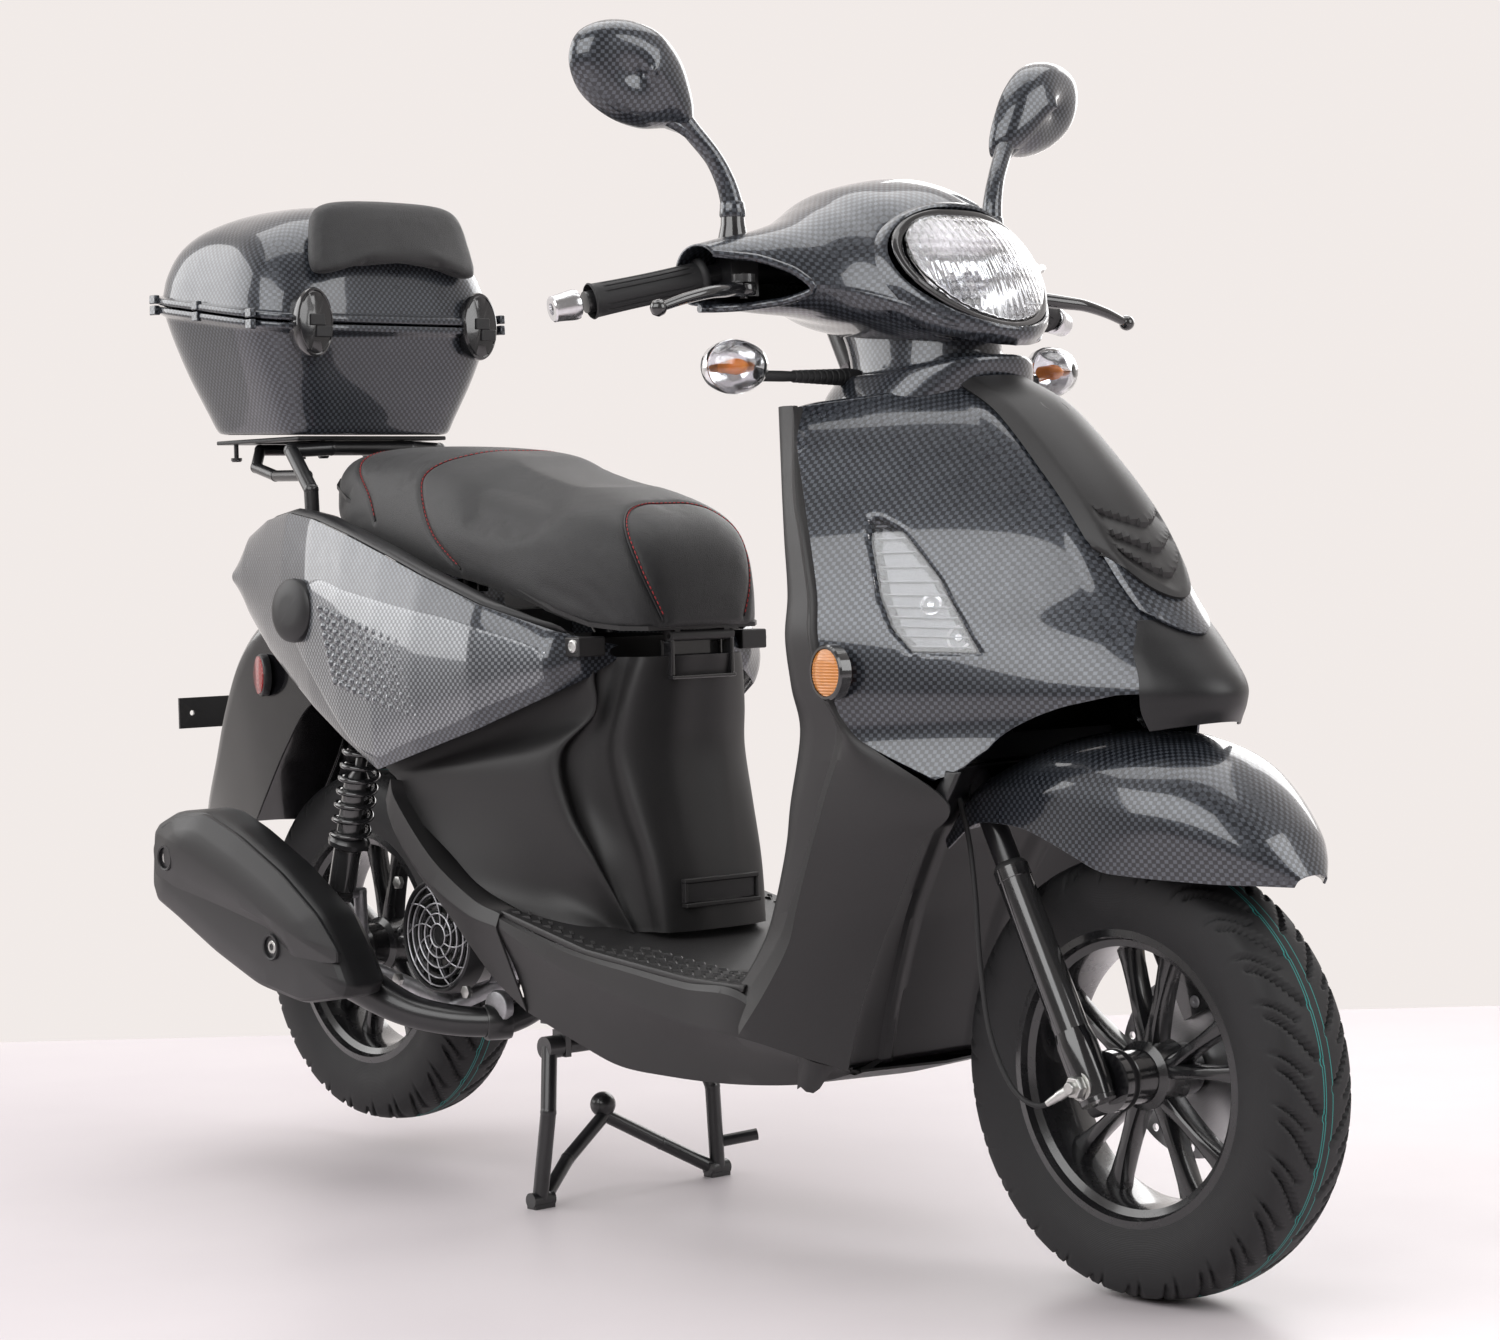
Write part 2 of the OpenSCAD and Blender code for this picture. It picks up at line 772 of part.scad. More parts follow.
module side_reflectors() {
    color([0.85, 0.40, 0.10])
        both_sides()
            translate([492, 223, 618])
                rotate([-90, 0, -8])
                    cylinder(h = 11, r = 28);
}

module turn_signals() {
    color(clear)
        both_sides() {
            rod([366, 72, 916], [366, 205, 921], 5);
            hull() {
                translate([352, 222, 922])
                    sphere(20, $fn = 20);
                translate([372, 222, 922])
                    sphere(24, $fn = 20);
                translate([368, 236, 922])
                    sphere(22, $fn = 20);
            }
        }
}

// ---------- rack and top case ----------

module rear_rack() {
    color(steel_black) {
        bent_bar([for (s = [-1, 1], i = [0:3]) let (k = s < 0 ? i : 3 - i)
            [[-549, -121, 758], [-552, -121, 822], [-606, -112, 872], [-596, -60, 874]][k]
                + (s < 0 ? [0, 0, 0] : [0, 2 * [121, 121, 112, 60][k], 0])], bar_r);
        bent_bar([[-572, -112, 840], [-660, -100, 842], [-716, -92, 854], [-724, -80, 876],
            [-724, 80, 876], [-716, 92, 854], [-660, 100, 842], [-572, 112, 840]], 7);
        translate([-730, -86, 884])
            cube([130, 172, 5]);
        both_sides()
            translate([-640, 74, 862])
                cylinder(h = 20, r = 5);
    }
}

// Rounded slab of the case at height z: front x, rear x, half width, thickness
module case_slab(z, front, rear, half, t, r, tilt) {
    translate([lid_hinge_at[0], 0, z])
        rotate([0, tilt, 0])
            hull()
                for (x = [front - r - lid_hinge_at[0], rear + r - lid_hinge_at[0]], s = [-1, 1])
                    translate([x, s * (half - r), 0])
                        cylinder(h = t, r = r, $fn = 32);
}

module case_base() {
    color(carbon)
        difference() {
            union() {
                hull() {
                    case_slab(890, -576, -800, 126, 2, 40, 2);
                    case_slab(1012, -534, -852, case_half - 8, 2, 56, case_tilt);
                }
                case_slab(1014, -530, -858, case_half - 2, 7, 60, case_tilt);
            }
            hull() {
                case_slab(894, -580, -796, 122, 2, 40, 2);
                case_slab(1030, -538, -848, case_half - 13, 2, 52, case_tilt);
            }
        }
}

module case_lid() {
    color(carbon)
        difference() {
            union() {
                case_slab(1024, -530, -860, case_half, 8, 60, case_tilt);
                hull() {
                    case_slab(1032, -534, -852, case_half - 8, 2, 56, case_tilt);
                    case_slab(1112, -550, -810, case_half - 34, 2, 70, case_tilt);
                    case_slab(1146, -566, -756, case_half - 70, 2, 80, 5);
                }
            }
            hull() {
                case_slab(1020, -538, -848, case_half - 12, 2, 52, case_tilt);
                case_slab(1109, -555, -806, case_half - 38, 2, 66, case_tilt);
                case_slab(1142, -570, -752, case_half - 74, 2, 76, 5);
            }
        }
}

module case_backrest() {
    color(matte)
        hull() {
            translate([-521, -112, 1090])
                sphere(13, $fn = 20);
            translate([-521, 112, 1090])
                sphere(13, $fn = 20);
            translate([-536, -84, 1160])
                sphere(14, $fn = 20);
            translate([-536, 84, 1160])
                sphere(14, $fn = 20);
        }
}

module case_latch() {
    color(gloss_black)
        difference() {
            translate([-884, -22, 1030])
                cube([12, 44, 60]);
            translate([-880, -16, 1034])
                cube([20, 32, 20]);
        }
}

// ---------- under the seat ----------

module storage_bucket() {
    color(matte)
        difference() {
            hull() {
                translate([-250, -94, 452])
                    cube([150, 188, 2]);
                translate([-290, -102, 640])
                    cube([220, 204, 2]);
            }
            hull() {
                translate([-247, -91, 455])
                    cube([144, 182, 2]);
                translate([-287, -99, 641])
                    cube([214, 198, 2]);
            }
        }
}

module fuel_tank() {
    color(steel_black)
        difference() {
            union() {
                translate([-500, -96, 580])
                    cube([178, 192, 92]);
                translate([-410, 0, 671])
                    cylinder(h = 22, r = 24);
            }
            translate([-498, -94, 582])
                cube([174, 188, 88]);
            translate([-410, 0, 660])
                cylinder(h = 40, r = 20);
        }
}

module fuel_cap() {
    color(gloss_black)
        translate([-410, 0, 694])
            difference() {
                cylinder(h = 16, r = 30);
                translate([0, 0, -1])
                    cylinder(h = 2, r = 26);
            }
}

seat_line = [[46, 682, 56, 652], [34, 740, 84, 650], [12, 772, 106, 651], [-24, 794, 122, 656],
    [-70, 806, 134, 672], [-123, 811, 140, 696], [-215, 842, 140, 722], [-390, 864, 130, 772],
    [-500, 868, 112, 806], [-548, 862, 92, 822], [-566, 846, 74, 830]];
module seat_cushion() {
    color(matte)
        loft([for (s = seat_line) concat(
            [for (i = [0:14]) let (a = 180 * i / 14, c = cos(a))
                [s[0], s[2] * sign(c) * pow(abs(c), 0.6), s[3] + 9 + (s[1] - s[3] - 9) * pow(sin(a), 0.6)]],
            [[s[0], -s[2] * 0.6, s[3] + 8], [s[0], s[2] * 0.6, s[3] + 8]])]);
}

module seat_pan() {
    color(matte)
        difference() {
            union() {
                loft([for (k = [1:len(seat_line) - 1]) let (s = seat_line[k], b = s[3], h = s[2] - 6)
                    [[s[0], -h, b + 1], [s[0], h, b + 1], [s[0], h, b + 6], [s[0], -h, b + 6]]]);
                both_sides()
                    translate([seat_hinge_at[0] - 16, 32, 640])
                        cube([20, 8, 14]);
                cross_bar(seat_hinge_at[0], seat_hinge_at[2], -46, 46, 6);
            }
            cross_bar(seat_hinge_at[0], seat_hinge_at[2], -80, 80, 3);
        }
}

// ---------- power unit ----------

module crankcase() {
    color([0.6, 0.6, 0.62])
        difference() {
            union() {
                cross_bar(-296, 292, -62, 66, 58);
                cross_bar(-316, 292, 64, 128, 74);
                hull() {
                    cross_bar(-330, 292, 64, 110, 60);
                    cross_bar(-rear_x, rear_z, 64, 110, 56);
                }
                rod([-300, 0, 296], [-196, 0, 318], 44);
                translate([-260, -40, 205])
                    cube([96, 80, 34]);
                cross_bar(swing_at[0], swing_at[2], -80, 80, 16);
                bent_bar([[-290, -30, 238], [-340, -84, 206], [-rear_x, -92, rear_z]], 10);
                cross_bar(-rear_x, rear_z, -102, -82, 18);
                both_sides()
                    cross_bar(shock_foot[0], shock_foot[2], 96, 140, 6);
                both_sides()
                    rod([shock_foot[0], 102, shock_foot[2] + 4], [-512, 92, rear_z - 8], 8);
            }
            cross_bar(swing_at[0], swing_at[2], -100, 100, 8 + fit);
            cross_bar(-rear_x, rear_z, -160, 90, axle_r + 1 + fit);
        }
}

module fan_cover() {
    color(gloss_black)
        translate([-330, -65, 292])
            rotate([90, 0, 0])
                difference() {
                    cylinder(h = 44, r = 66);
                    translate([0, 0, -1])
                        cylinder(h = 42, r = 60);
                    for (r = [16:12:52])
                        translate([0, 0, 38])
                            difference() {
                                cylinder(h = 10, r = r + 7);
                                translate([0, 0, -1])
                                    cylinder(h = 12, r = r);
                                for (i = [0:2])
                                    rotate([0, 0, i * 60 + r])
                                        translate([-80, -2.5, -1])
                                            cube([160, 5, 12]);
                            }
                }
}

module cooling_fan() {
    color(silver)
        translate([-330, -70, 292])
            rotate([90, 0, 0]) {
                cylinder(h = 4, r = 50);
                cylinder(h = 26, r = 14);
                for (i = [0:11])
                    rotate([0, 0, i * 30])
                        translate([24, -1.5, 2])
                            cube([24, 3, 22]);
            }
}

module muffler() {
    color(steel_black) {
        hull() {
            translate([-418, -196, 248])
                rotate([0, -64, 0])
                    scale([1, 0.66, 1])
                        cylinder(h = 4, r = 40, $fn = 32);
            translate([-510, -206, 300])
                rotate([0, -64, 0])
                    scale([1, 0.62, 1])
                        cylinder(h = 8, r = 64, $fn = 32);
            translate([-672, -222, 380])
                rotate([0, -64, 0])
                    scale([1, 0.6, 1])
                        cylinder(h = 30, r = 66, $fn = 32);
            translate([-734, -226, 398])
                rotate([0, -64, 0])
                    scale([1, 0.5, 1])
                        cylinder(h = 4, r = 34, $fn = 32);
        }
        bent_bar([[-228, 0, 246], [-222, -44, 214], [-246, -100, 196], [-330, -152, 206], [-416, -190, 250]], 16);
    }
}

module kick_lever() {
    color(silver)
        difference() {
            union() {
                cross_bar(-330, 292, 130, 142, 15);
                rod([-330, 137, 292], [-470, 146, 270], 7);
                rod([-470, 140, 270], [-470, 182, 270], 8);
            }
            cross_bar(-330, 292, 128, 136, 6);
        }
}

shock_axis = (shock_top - shock_foot) / norm(shock_top - shock_foot);
shock_length = norm(shock_top - shock_foot);
function along_shock(t) = shock_foot + shock_axis * t;

module shock_lowers() {
    color(gloss_black)
        both_sides() {
            difference() {
                rod(along_shock(8), along_shock(150), 17);
                rod(along_shock(30), along_shock(160), 10.5);
            }
            difference() {
                cross_bar(shock_foot[0], shock_foot[2], shock_foot[1] - 9, shock_foot[1] + 9, 12);
                cross_bar(shock_foot[0], shock_foot[2], 90, 170, 6 + fit);
            }
        }
}

module shock_uppers() {
    color(silver)
        both_sides() {
            rod(along_shock(86), along_shock(shock_length - 10), 7);
            rod(along_shock(shock_length - 40), along_shock(shock_length - 24), 25);
            difference() {
                cross_bar(shock_top[0], shock_top[2], shock_top[1] - 7, shock_top[1] + 7, 12);
                cross_bar(shock_top[0], shock_top[2], 90, 170, 6 + fit);
            }
        }
}

module shock_springs() {
    color(gloss_black)
        both_sides()
            difference() {
                rod(along_shock(60), along_shock(shock_length - 42), 24);
                rod(along_shock(50), along_shock(shock_length - 30), 18.5);
            }
}

// ---------- centre stand ----------

module centre_stand() {
    color(steel_black) {
        both_sides() {
            bent_bar([[-130, 104, 178], [-112, 122, 108], [-118, 132, 12], [-118, 120, 9.2]], bar_r);
            bent_bar([[-118, 126, 10], [-146, 70, 44], [-164, 0, 84]], bar_r - 1);
        }
        translate([-166, 0, 96])
            sphere(15);
        difference() {
            union() {
                both_sides()
                    cross_bar(stand_at[0], stand_at[2], 91, 112, 13);
                cross_bar(stand_at[0], stand_at[2], -80, 80, 10);
            }
            cross_bar(stand_at[0], stand_at[2], -60, 60, 4);
        }
        cross_bar(stand_at[0], stand_at[2], -112, 112, 6);
        both_sides() {
            cross_bar(-118, 9.6, 116, 146, 9);
            translate([-126, 117, 0])
                cube([16, 28, 5]);
        }
        rod([-118, 138, 40], [-96, 176, 46], 7);
    }
}

module ignition_key() {
    color(silver) {
        translate([250, 36, 742])
            rotate([0, -80, 0])
                cylinder(h = 14, r = 4);
        translate([222, 31, 741])
            cube([15, 10, 18]);
    }
}

main_frame();
rear_frame();
front_panel();
panel_insert();
neck_cowl();
marker_lamps();
leg_shield();
lower_fairing();
wheel_liner();
floorboard();
seat_box_cover();
side_panel_left();
side_panel_right();
tail_lamp();
rear_fender();
plate_bracket();
side_reflectors();
rear_rack();
case_base();
turn_signals();
storage_bucket();
fuel_tank();
steering_stem();
handlebar();
nacelle();
headlight();
front_fender();
left_grip();
throttle_grip();
brake_lever_right();
brake_lever_left();
mirror_right();
mirror_left();
fork_lowers();
front_rim();
front_tyre();
brake_disc();
speedo_cable();
crankcase();
fan_cover();
cooling_fan();
muffler();
rear_rim();
rear_tyre();
shock_uppers();
shock_lowers();
shock_springs();
centre_stand();
seat_pan();
seat_cushion();
case_lid();
case_backrest();
case_latch();
ignition_key();
kick_lever();
starter_button();
horn_button();
turn_switch();
beam_switch();
fuel_cap();
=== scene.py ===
"""Looks for the moped scooter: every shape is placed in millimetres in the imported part's frame."""

import json
import math

import bpy
import numpy as np
from mathutils import Matrix, Vector
from mathutils.bvhtree import BVHTree


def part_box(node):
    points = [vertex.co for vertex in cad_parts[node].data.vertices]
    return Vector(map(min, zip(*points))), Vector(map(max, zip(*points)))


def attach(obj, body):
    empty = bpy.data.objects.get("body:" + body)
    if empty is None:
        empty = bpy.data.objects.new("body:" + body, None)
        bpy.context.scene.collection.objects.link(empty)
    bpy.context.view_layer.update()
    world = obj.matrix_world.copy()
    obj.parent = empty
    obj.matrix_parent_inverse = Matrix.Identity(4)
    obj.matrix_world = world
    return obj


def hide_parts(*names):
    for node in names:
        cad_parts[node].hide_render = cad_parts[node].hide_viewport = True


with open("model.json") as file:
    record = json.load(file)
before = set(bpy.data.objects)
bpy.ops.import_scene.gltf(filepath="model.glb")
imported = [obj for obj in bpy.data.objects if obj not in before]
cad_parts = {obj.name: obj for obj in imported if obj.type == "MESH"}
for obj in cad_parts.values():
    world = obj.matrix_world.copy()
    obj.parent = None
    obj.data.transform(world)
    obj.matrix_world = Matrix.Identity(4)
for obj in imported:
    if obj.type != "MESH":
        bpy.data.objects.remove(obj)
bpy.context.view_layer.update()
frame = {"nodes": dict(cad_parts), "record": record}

MM = 0.001


def centre_of(node):
    low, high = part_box(node)
    return np.array((low + high) / 2) / MM


def size_of(node):
    low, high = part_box(node)
    return np.array(high - low) / MM


# ---------- driving places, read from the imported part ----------

FRONT_AXLE = centre_of("front_tyre")
REAR_AXLE = centre_of("rear_tyre")
TYRE_R = size_of("front_tyre")[0] / 2
TYRE_HALF = size_of("front_tyre")[1] / 2
RIM_R = size_of("front_rim")[0] / 2
RAKE = math.radians(27)
FORK_OFFSET = 30.0
FORK_HALF = 88.0
STEER_FOOT = np.array([FRONT_AXLE[0] - FORK_OFFSET / math.cos(RAKE), 0, FRONT_AXLE[2]])


# ---------- mesh helpers ----------


def smooth(points, n):
    """n samples of the smooth curve through the points, or through whole rows of points."""
    p = np.asarray(points, float)
    t = np.linspace(0, len(p) - 1, n)
    i = np.minimum(t.astype(int), len(p) - 2)
    f = (t - i).reshape((-1,) + (1,) * (p.ndim - 1))
    m = np.gradient(p, axis=0)
    return (
        (2 * f**3 - 3 * f**2 + 1) * p[i]
        + (f**3 - 2 * f**2 + f) * m[i]
        + (3 * f**2 - 2 * f**3) * p[i + 1]
        + (f**3 - f**2) * m[i + 1]
    )


def patch(rows, n_rows, n_cols):
    """Dense grid of points through a coarse grid of them."""
    coarse = np.asarray(rows, float)
    dense = smooth(coarse, n_rows)
    return smooth(dense.transpose(1, 0, 2), n_cols).transpose(1, 0, 2)


def grid_faces(m, n, ring=False, loop=False):
    """Quads of an m by n grid; ring joins the ends of a row, loop joins the last row to the first."""
    return [
        (i * n + j, i * n + (j + 1) % n, (i + 1) % m * n + (j + 1) % n, (i + 1) % m * n + j)
        for i in range(m if loop else m - 1)
        for j in range(n if ring else n - 1)
    ]


def place(obj, body, nodes=()):
    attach(obj, body)
    if nodes:
        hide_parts(*nodes)
    return obj


def piece(name, verts, faces, material, body, slot, nodes=(), both=False, thick=0.0, bevel=0.0,
          sharp=38, subdivide=0, outward=1, even=True):
    """A mesh piece from points in millimetres, with an optional mirrored twin, wall and bevel."""
    verts = np.asarray(verts, float).reshape(-1, 3)
    faces = [tuple(f) for f in faces]
    if both:
        count = len(verts)
        faces = faces + [tuple(count + k for k in reversed(f)) for f in faces]
        verts = np.concatenate([verts, verts * [1, -1, 1]])
    mesh = bpy.data.meshes.new(name)
    mesh.from_pydata((verts * MM).tolist(), [], faces)
    mesh.validate()
    mesh.polygons.foreach_set("use_smooth", [True] * len(mesh.polygons))
    mesh.set_sharp_from_angle(angle=math.radians(sharp))
    mesh.materials.append(material)
    obj = bpy.data.objects.new(name, mesh)
    bpy.context.scene.collection.objects.link(obj)
    if subdivide:
        obj.modifiers.new("smooth", "SUBSURF").render_levels = subdivide
        obj.modifiers["smooth"].levels = subdivide
    if thick:
        wall = obj.modifiers.new("wall", "SOLIDIFY")
        wall.thickness = abs(thick) * MM
        wall.offset = -outward
        wall.use_even_offset = even
    if bevel:
        edge = obj.modifiers.new("edge", "BEVEL")
        edge.width = bevel * MM
        edge.segments = 3
        edge.limit_method = "ANGLE"
        edge.angle_limit = math.radians(sharp)
        edge.harden_normals = False
        normals = obj.modifiers.new("normals", "WEIGHTED_NORMAL")
        normals.keep_sharp = True
    return place(obj, body, nodes)


def sheet_piece(name, grid, *args, ring=False, loop=False, caps=False, flip=False, **more):
    grid = np.asarray(grid, float)
    m, n = grid.shape[:2]
    faces = grid_faces(m, n, ring, loop)
    if caps:
        faces += [tuple(range(n))[::-1], tuple((m - 1) * n + j for j in range(n))]
    if flip:
        faces = [f[::-1] for f in faces]
    return piece(name, grid, faces, *args, **more)


def join_parts(parts):
    """Points and faces of several (points, faces) parts as one."""
    verts, faces = [], []
    for v, f in parts:
        faces += [tuple(len(verts) + k for k in face) for face in f]
        verts += [tuple(p) for p in np.asarray(v, float).reshape(-1, 3)]
    return verts, faces


def lathe(profile, centre, axis, n=96, closed=True):
    """Turned part: profile is (distance along the axis, radius) from a centre."""
    axis = np.asarray(axis, float) / np.linalg.norm(axis)
    side = np.cross(axis, [0, 0, 1.0] if abs(axis[2]) < 0.9 else [1.0, 0, 0])
    side /= np.linalg.norm(side)
    up = np.cross(axis, side)
    rows = []
    for along, radius in profile:
        a = np.linspace(0, 2 * math.pi, n, endpoint=False)[:, None]
        rows.append(np.asarray(centre) + axis * along + radius * (np.cos(a) * side + np.sin(a) * up))
    m = len(rows)
    faces = grid_faces(m, n, ring=True, loop=closed)
    return np.array(rows).reshape(-1, 3), faces


def tube(points, radius, n=16, samples=None, caps=True):
    """Round bar along a smooth line; radius may be one value or one per point."""
    pts = np.asarray(points, float)
    samples = samples or max(2, 8 * (len(pts) - 1))
    line = smooth(pts, samples) if len(pts) > 2 else np.linspace(pts[0], pts[-1], samples)
    radii = np.broadcast_to(radius, len(pts)).astype(float)
    radii = np.interp(np.linspace(0, len(pts) - 1, samples), range(len(pts)), radii)
    tangent = np.gradient(line, axis=0)
    tangent /= np.linalg.norm(tangent, axis=1)[:, None]
    side = np.cross(tangent[0], [0.31, 0.17, 0.93])
    rows = []
    for p, t, r in zip(line, tangent, radii):
        side = side - t * (side @ t)
        side /= np.linalg.norm(side)
        up = np.cross(t, side)
        a = np.linspace(0, 2 * math.pi, n, endpoint=False)[:, None]
        rows.append(p + r * (np.cos(a) * side + np.sin(a) * up))
    faces = grid_faces(len(rows), n, ring=True)
    if caps:
        faces += [tuple(range(n))[::-1], tuple((len(rows) - 1) * n + j for j in range(n))]
    return np.array(rows).reshape(-1, 3), faces


def block(low, high, taper=1.0):
    """Box between two corners, its top drawn in by taper."""
    low, high = np.asarray(low, float), np.asarray(high, float)
    mid = (low + high) / 2
    verts = []
    for z, k in ((low[2], 1.0), (high[2], taper)):
        for sx, sy in ((-1, -1), (1, -1), (1, 1), (-1, 1)):
            verts.append(mid + [sx * k * (high - low)[0] / 2, sy * k * (high - low)[1] / 2, z - mid[2]])
    faces = [(3, 2, 1, 0), (4, 5, 6, 7)] + [(i, (i + 1) % 4, 4 + (i + 1) % 4, 4 + i) for i in range(4)]
    return np.array(verts), faces


def turned(part, pivot, angle, axis="Y"):
    """A part turned about a pivot by an angle in degrees."""
    spin = np.array(Matrix.Rotation(math.radians(angle), 3, axis))
    v = (np.asarray(part[0], float).reshape(-1, 3) - pivot) @ spin.T + pivot
    return v, part[1]


def steer(u, v, w):
    """Point of the steering frame: u ahead, v left, w up the steering axis."""
    s, c = math.sin(RAKE), math.cos(RAKE)
    return STEER_FOOT + np.array([u * c - w * s, v, u * s + w * c])


def superellipse(n, e=1.0):
    """Unit outline of n points; e below 1 is boxier than a circle."""
    a = np.linspace(0, 2 * math.pi, n, endpoint=False)
    c, s = np.cos(a), np.sin(a)
    return np.sign(c) * np.abs(c) ** e, np.sign(s) * np.abs(s) ** e


# ---------- materials ----------


class Shade:
    """A node material with short ways to add nodes."""

    def __init__(self, name, **values):
        self.mat = bpy.data.materials.new(name)
        self.mat.use_nodes = True
        self.tree = self.mat.node_tree
        self.tree.nodes.clear()
        self.out = self.tree.nodes.new("ShaderNodeOutputMaterial")
        self.bsdf = self.tree.nodes.new("ShaderNodeBsdfPrincipled")
        self.tree.links.new(self.bsdf.outputs[0], self.out.inputs["Surface"])
        self.coords = self.tree.nodes.new("ShaderNodeTexCoord")
        for key, value in values.items():
            self.set(key.replace("_", " "), value)

    def set(self, socket, value):
        self.feed(self.bsdf.inputs[socket], value)

    def feed(self, socket, value):
        if hasattr(value, "is_output"):
            self.tree.links.new(value, socket)
        elif isinstance(value, (tuple, list)) and len(value) == 3 and socket.type == "RGBA":
            socket.default_value = (*value, 1)
        else:
            socket.default_value = value

    def add(self, kind, inputs=(), output=0, **props):
        node = self.tree.nodes.new("ShaderNode" + kind)
        for k, v in props.items():
            setattr(node, k, v)
        for k, v in dict(inputs).items():
            self.feed(node.inputs[k], v)
        return node.outputs[output]

    def math(self, op, a, b=0.5, c=0.5):
        return self.add("Math", {0: a, 1: b, 2: c}, operation=op)

    def mix(self, share, a, b):
        return self.add("MixRGB", {"Fac": share, "Color1": a, "Color2": b})

    def noise(self, scale, detail=3.0, rough=0.5, vector=None):
        return self.add("TexNoise", {"Vector": vector or self.coords.outputs["Object"], "Scale": scale,
                                     "Detail": detail, "Roughness": rough})

    def range(self, value, a, b, c=0.0, d=1.0):
        return self.add("MapRange", {"Value": value, "From Min": a, "From Max": b, "To Min": c, "To Max": d})

    def bump(self, height, distance, strength=1.0, normal=None):
        inputs = {"Height": height, "Distance": distance, "Strength": strength}
        if normal is not None:
            inputs["Normal"] = normal
        return self.add("Bump", inputs)

    def painted_edge_highlight(self, colour, light, low=0.52, high=0.62, share=0.5):
        """Colour painted lighter along the outward edges: a painted edge highlight."""
        edge = self.range(self.add("NewGeometry", output="Pointiness"), low, high, 0, share)
        return self.mix(edge, colour, light)

    def axes(self):
        parts = self.tree.nodes.new("ShaderNodeSeparateXYZ")
        self.tree.links.new(self.coords.outputs["Object"], parts.inputs[0])
        return parts.outputs


def carbon(name="carbon_print", period=3.9, light=(0.085, 0.096, 0.115), dark=(0.013, 0.015, 0.020)):
    """Glossy printed weave, laid on by the direction each face looks in."""
    s = Shade(name)
    x, y, z = s.axes()
    facing = s.tree.nodes.new("ShaderNodeSeparateXYZ")
    s.tree.links.new(s.coords.outputs["Normal"], facing.inputs[0])
    total, weights = None, []
    for k in range(3):
        w = s.math("POWER", s.math("ABSOLUTE", facing.outputs[k]), 6.0)
        weights.append(w)
        total = w if total is None else s.math("ADD", total, w)
    value = None
    for w, (u, v) in zip(weights, ((y, z), (x, z), (x, y))):
        a = s.math("DIVIDE", u, period * MM)
        b = s.math("DIVIDE", v, period * MM)
        cell = s.math("MODULO", s.math("ADD", s.math("ADD", s.math("FLOOR", a), s.math("FLOOR", b)), 4000.0), 2.0)
        da = s.math("ABSOLUTE", s.math("SUBTRACT", s.math("FRACT", a), 0.5))
        db = s.math("ABSOLUTE", s.math("SUBTRACT", s.math("FRACT", b), 0.5))
        dot = s.range(s.math("MAXIMUM", da, db), 0.36, 0.5, 1.0, 0.15)
        part = s.math("MULTIPLY", s.math("MULTIPLY", cell, dot), s.math("DIVIDE", w, total))
        value = part if value is None else s.math("ADD", value, part)
    cloudy = s.range(s.noise(5.0, 2.0), 0.3, 0.7, 0.75, 1.1)
    value = s.math("MULTIPLY", value, cloudy)
    s.set("Base Color", s.mix(value, dark, light))
    s.set("Metallic", 0.35)
    s.set("Roughness", s.range(s.noise(60.0), 0.3, 0.7, 0.26, 0.36))
    s.set("Coat Weight", 1.0)
    s.set("Coat Roughness", 0.045)
    s.set("Normal", s.bump(value, 0.00012, 0.35, s.bump(s.noise(22.0, 2.0), 0.0006, 0.10)))
    return s.mat


def plastic(name, colour, rough, grain=0.22, light=None, scale=900.0):
    """Moulded plastic with a fine grain, faint dust and a painted highlight along its edges."""
    s = Shade(name)
    light = light or tuple(min(1.0, c * 2.2 + 0.02) for c in colour)
    fine = s.noise(scale, 4.0, 0.6)
    broad = s.noise(9.0, 3.0)
    base = s.mix(s.range(broad, 0.35, 0.7, 0.0, 0.35), colour, tuple(c * 1.35 + 0.002 for c in colour))
    base = s.mix(s.range(fine, 0.45, 0.75, 0.0, 0.25), base, light)
    # Painted edge highlight: the colour is lighter along the outward edges.
    s.set("Base Color", s.painted_edge_highlight(base, light, share=0.35))
    s.set("Roughness", s.math("ADD", s.range(fine, 0.3, 0.7, rough - 0.05, rough + 0.05),
                              s.range(broad, 0.3, 0.7, -0.03, 0.03)))
    s.set("Normal", s.bump(fine, 0.0003, grain))
    return s.mat


def paint(name, colour, rough=0.12, coat=1.0):
    """Gloss paint or powder coat with a slight peel and a painted highlight along its edges."""
    s = Shade(name)
    base = s.mix(s.range(s.noise(14.0), 0.3, 0.7), colour, tuple(c * 1.5 + 0.002 for c in colour))
    # Painted edge highlight: the colour is lighter along the outward edges.
    s.set("Base Color", s.painted_edge_highlight(base, (0.09, 0.09, 0.09), share=0.3))
    s.set("Roughness", s.range(s.noise(40.0), 0.3, 0.7, rough, rough + 0.08))
    s.set("Coat Weight", coat)
    s.set("Coat Roughness", rough * 0.5)
    s.set("Normal", s.bump(s.noise(170.0, 2.0), 0.0008, 0.10))
    return s.mat


def metal(name, colour, rough, grain=0.3, cast=60.0):
    """Cast or machined metal with stains in its gloss."""
    s = Shade(name)
    stain = s.noise(cast, 5.0, 0.6)
    base = s.mix(s.range(stain, 0.35, 0.7), colour, tuple(c * 0.72 for c in colour))
    # Painted edge highlight: the colour is lighter along the outward edges.
    s.set("Base Color", s.painted_edge_highlight(base, tuple(min(1, c * 1.25) for c in colour), share=0.4))
    s.set("Metallic", 1.0)
    s.set("Roughness", s.range(stain, 0.3, 0.75, rough, rough + 0.18))
    s.set("Normal", s.bump(s.noise(cast * 9, 3.0), 0.0005, grain))
    return s.mat


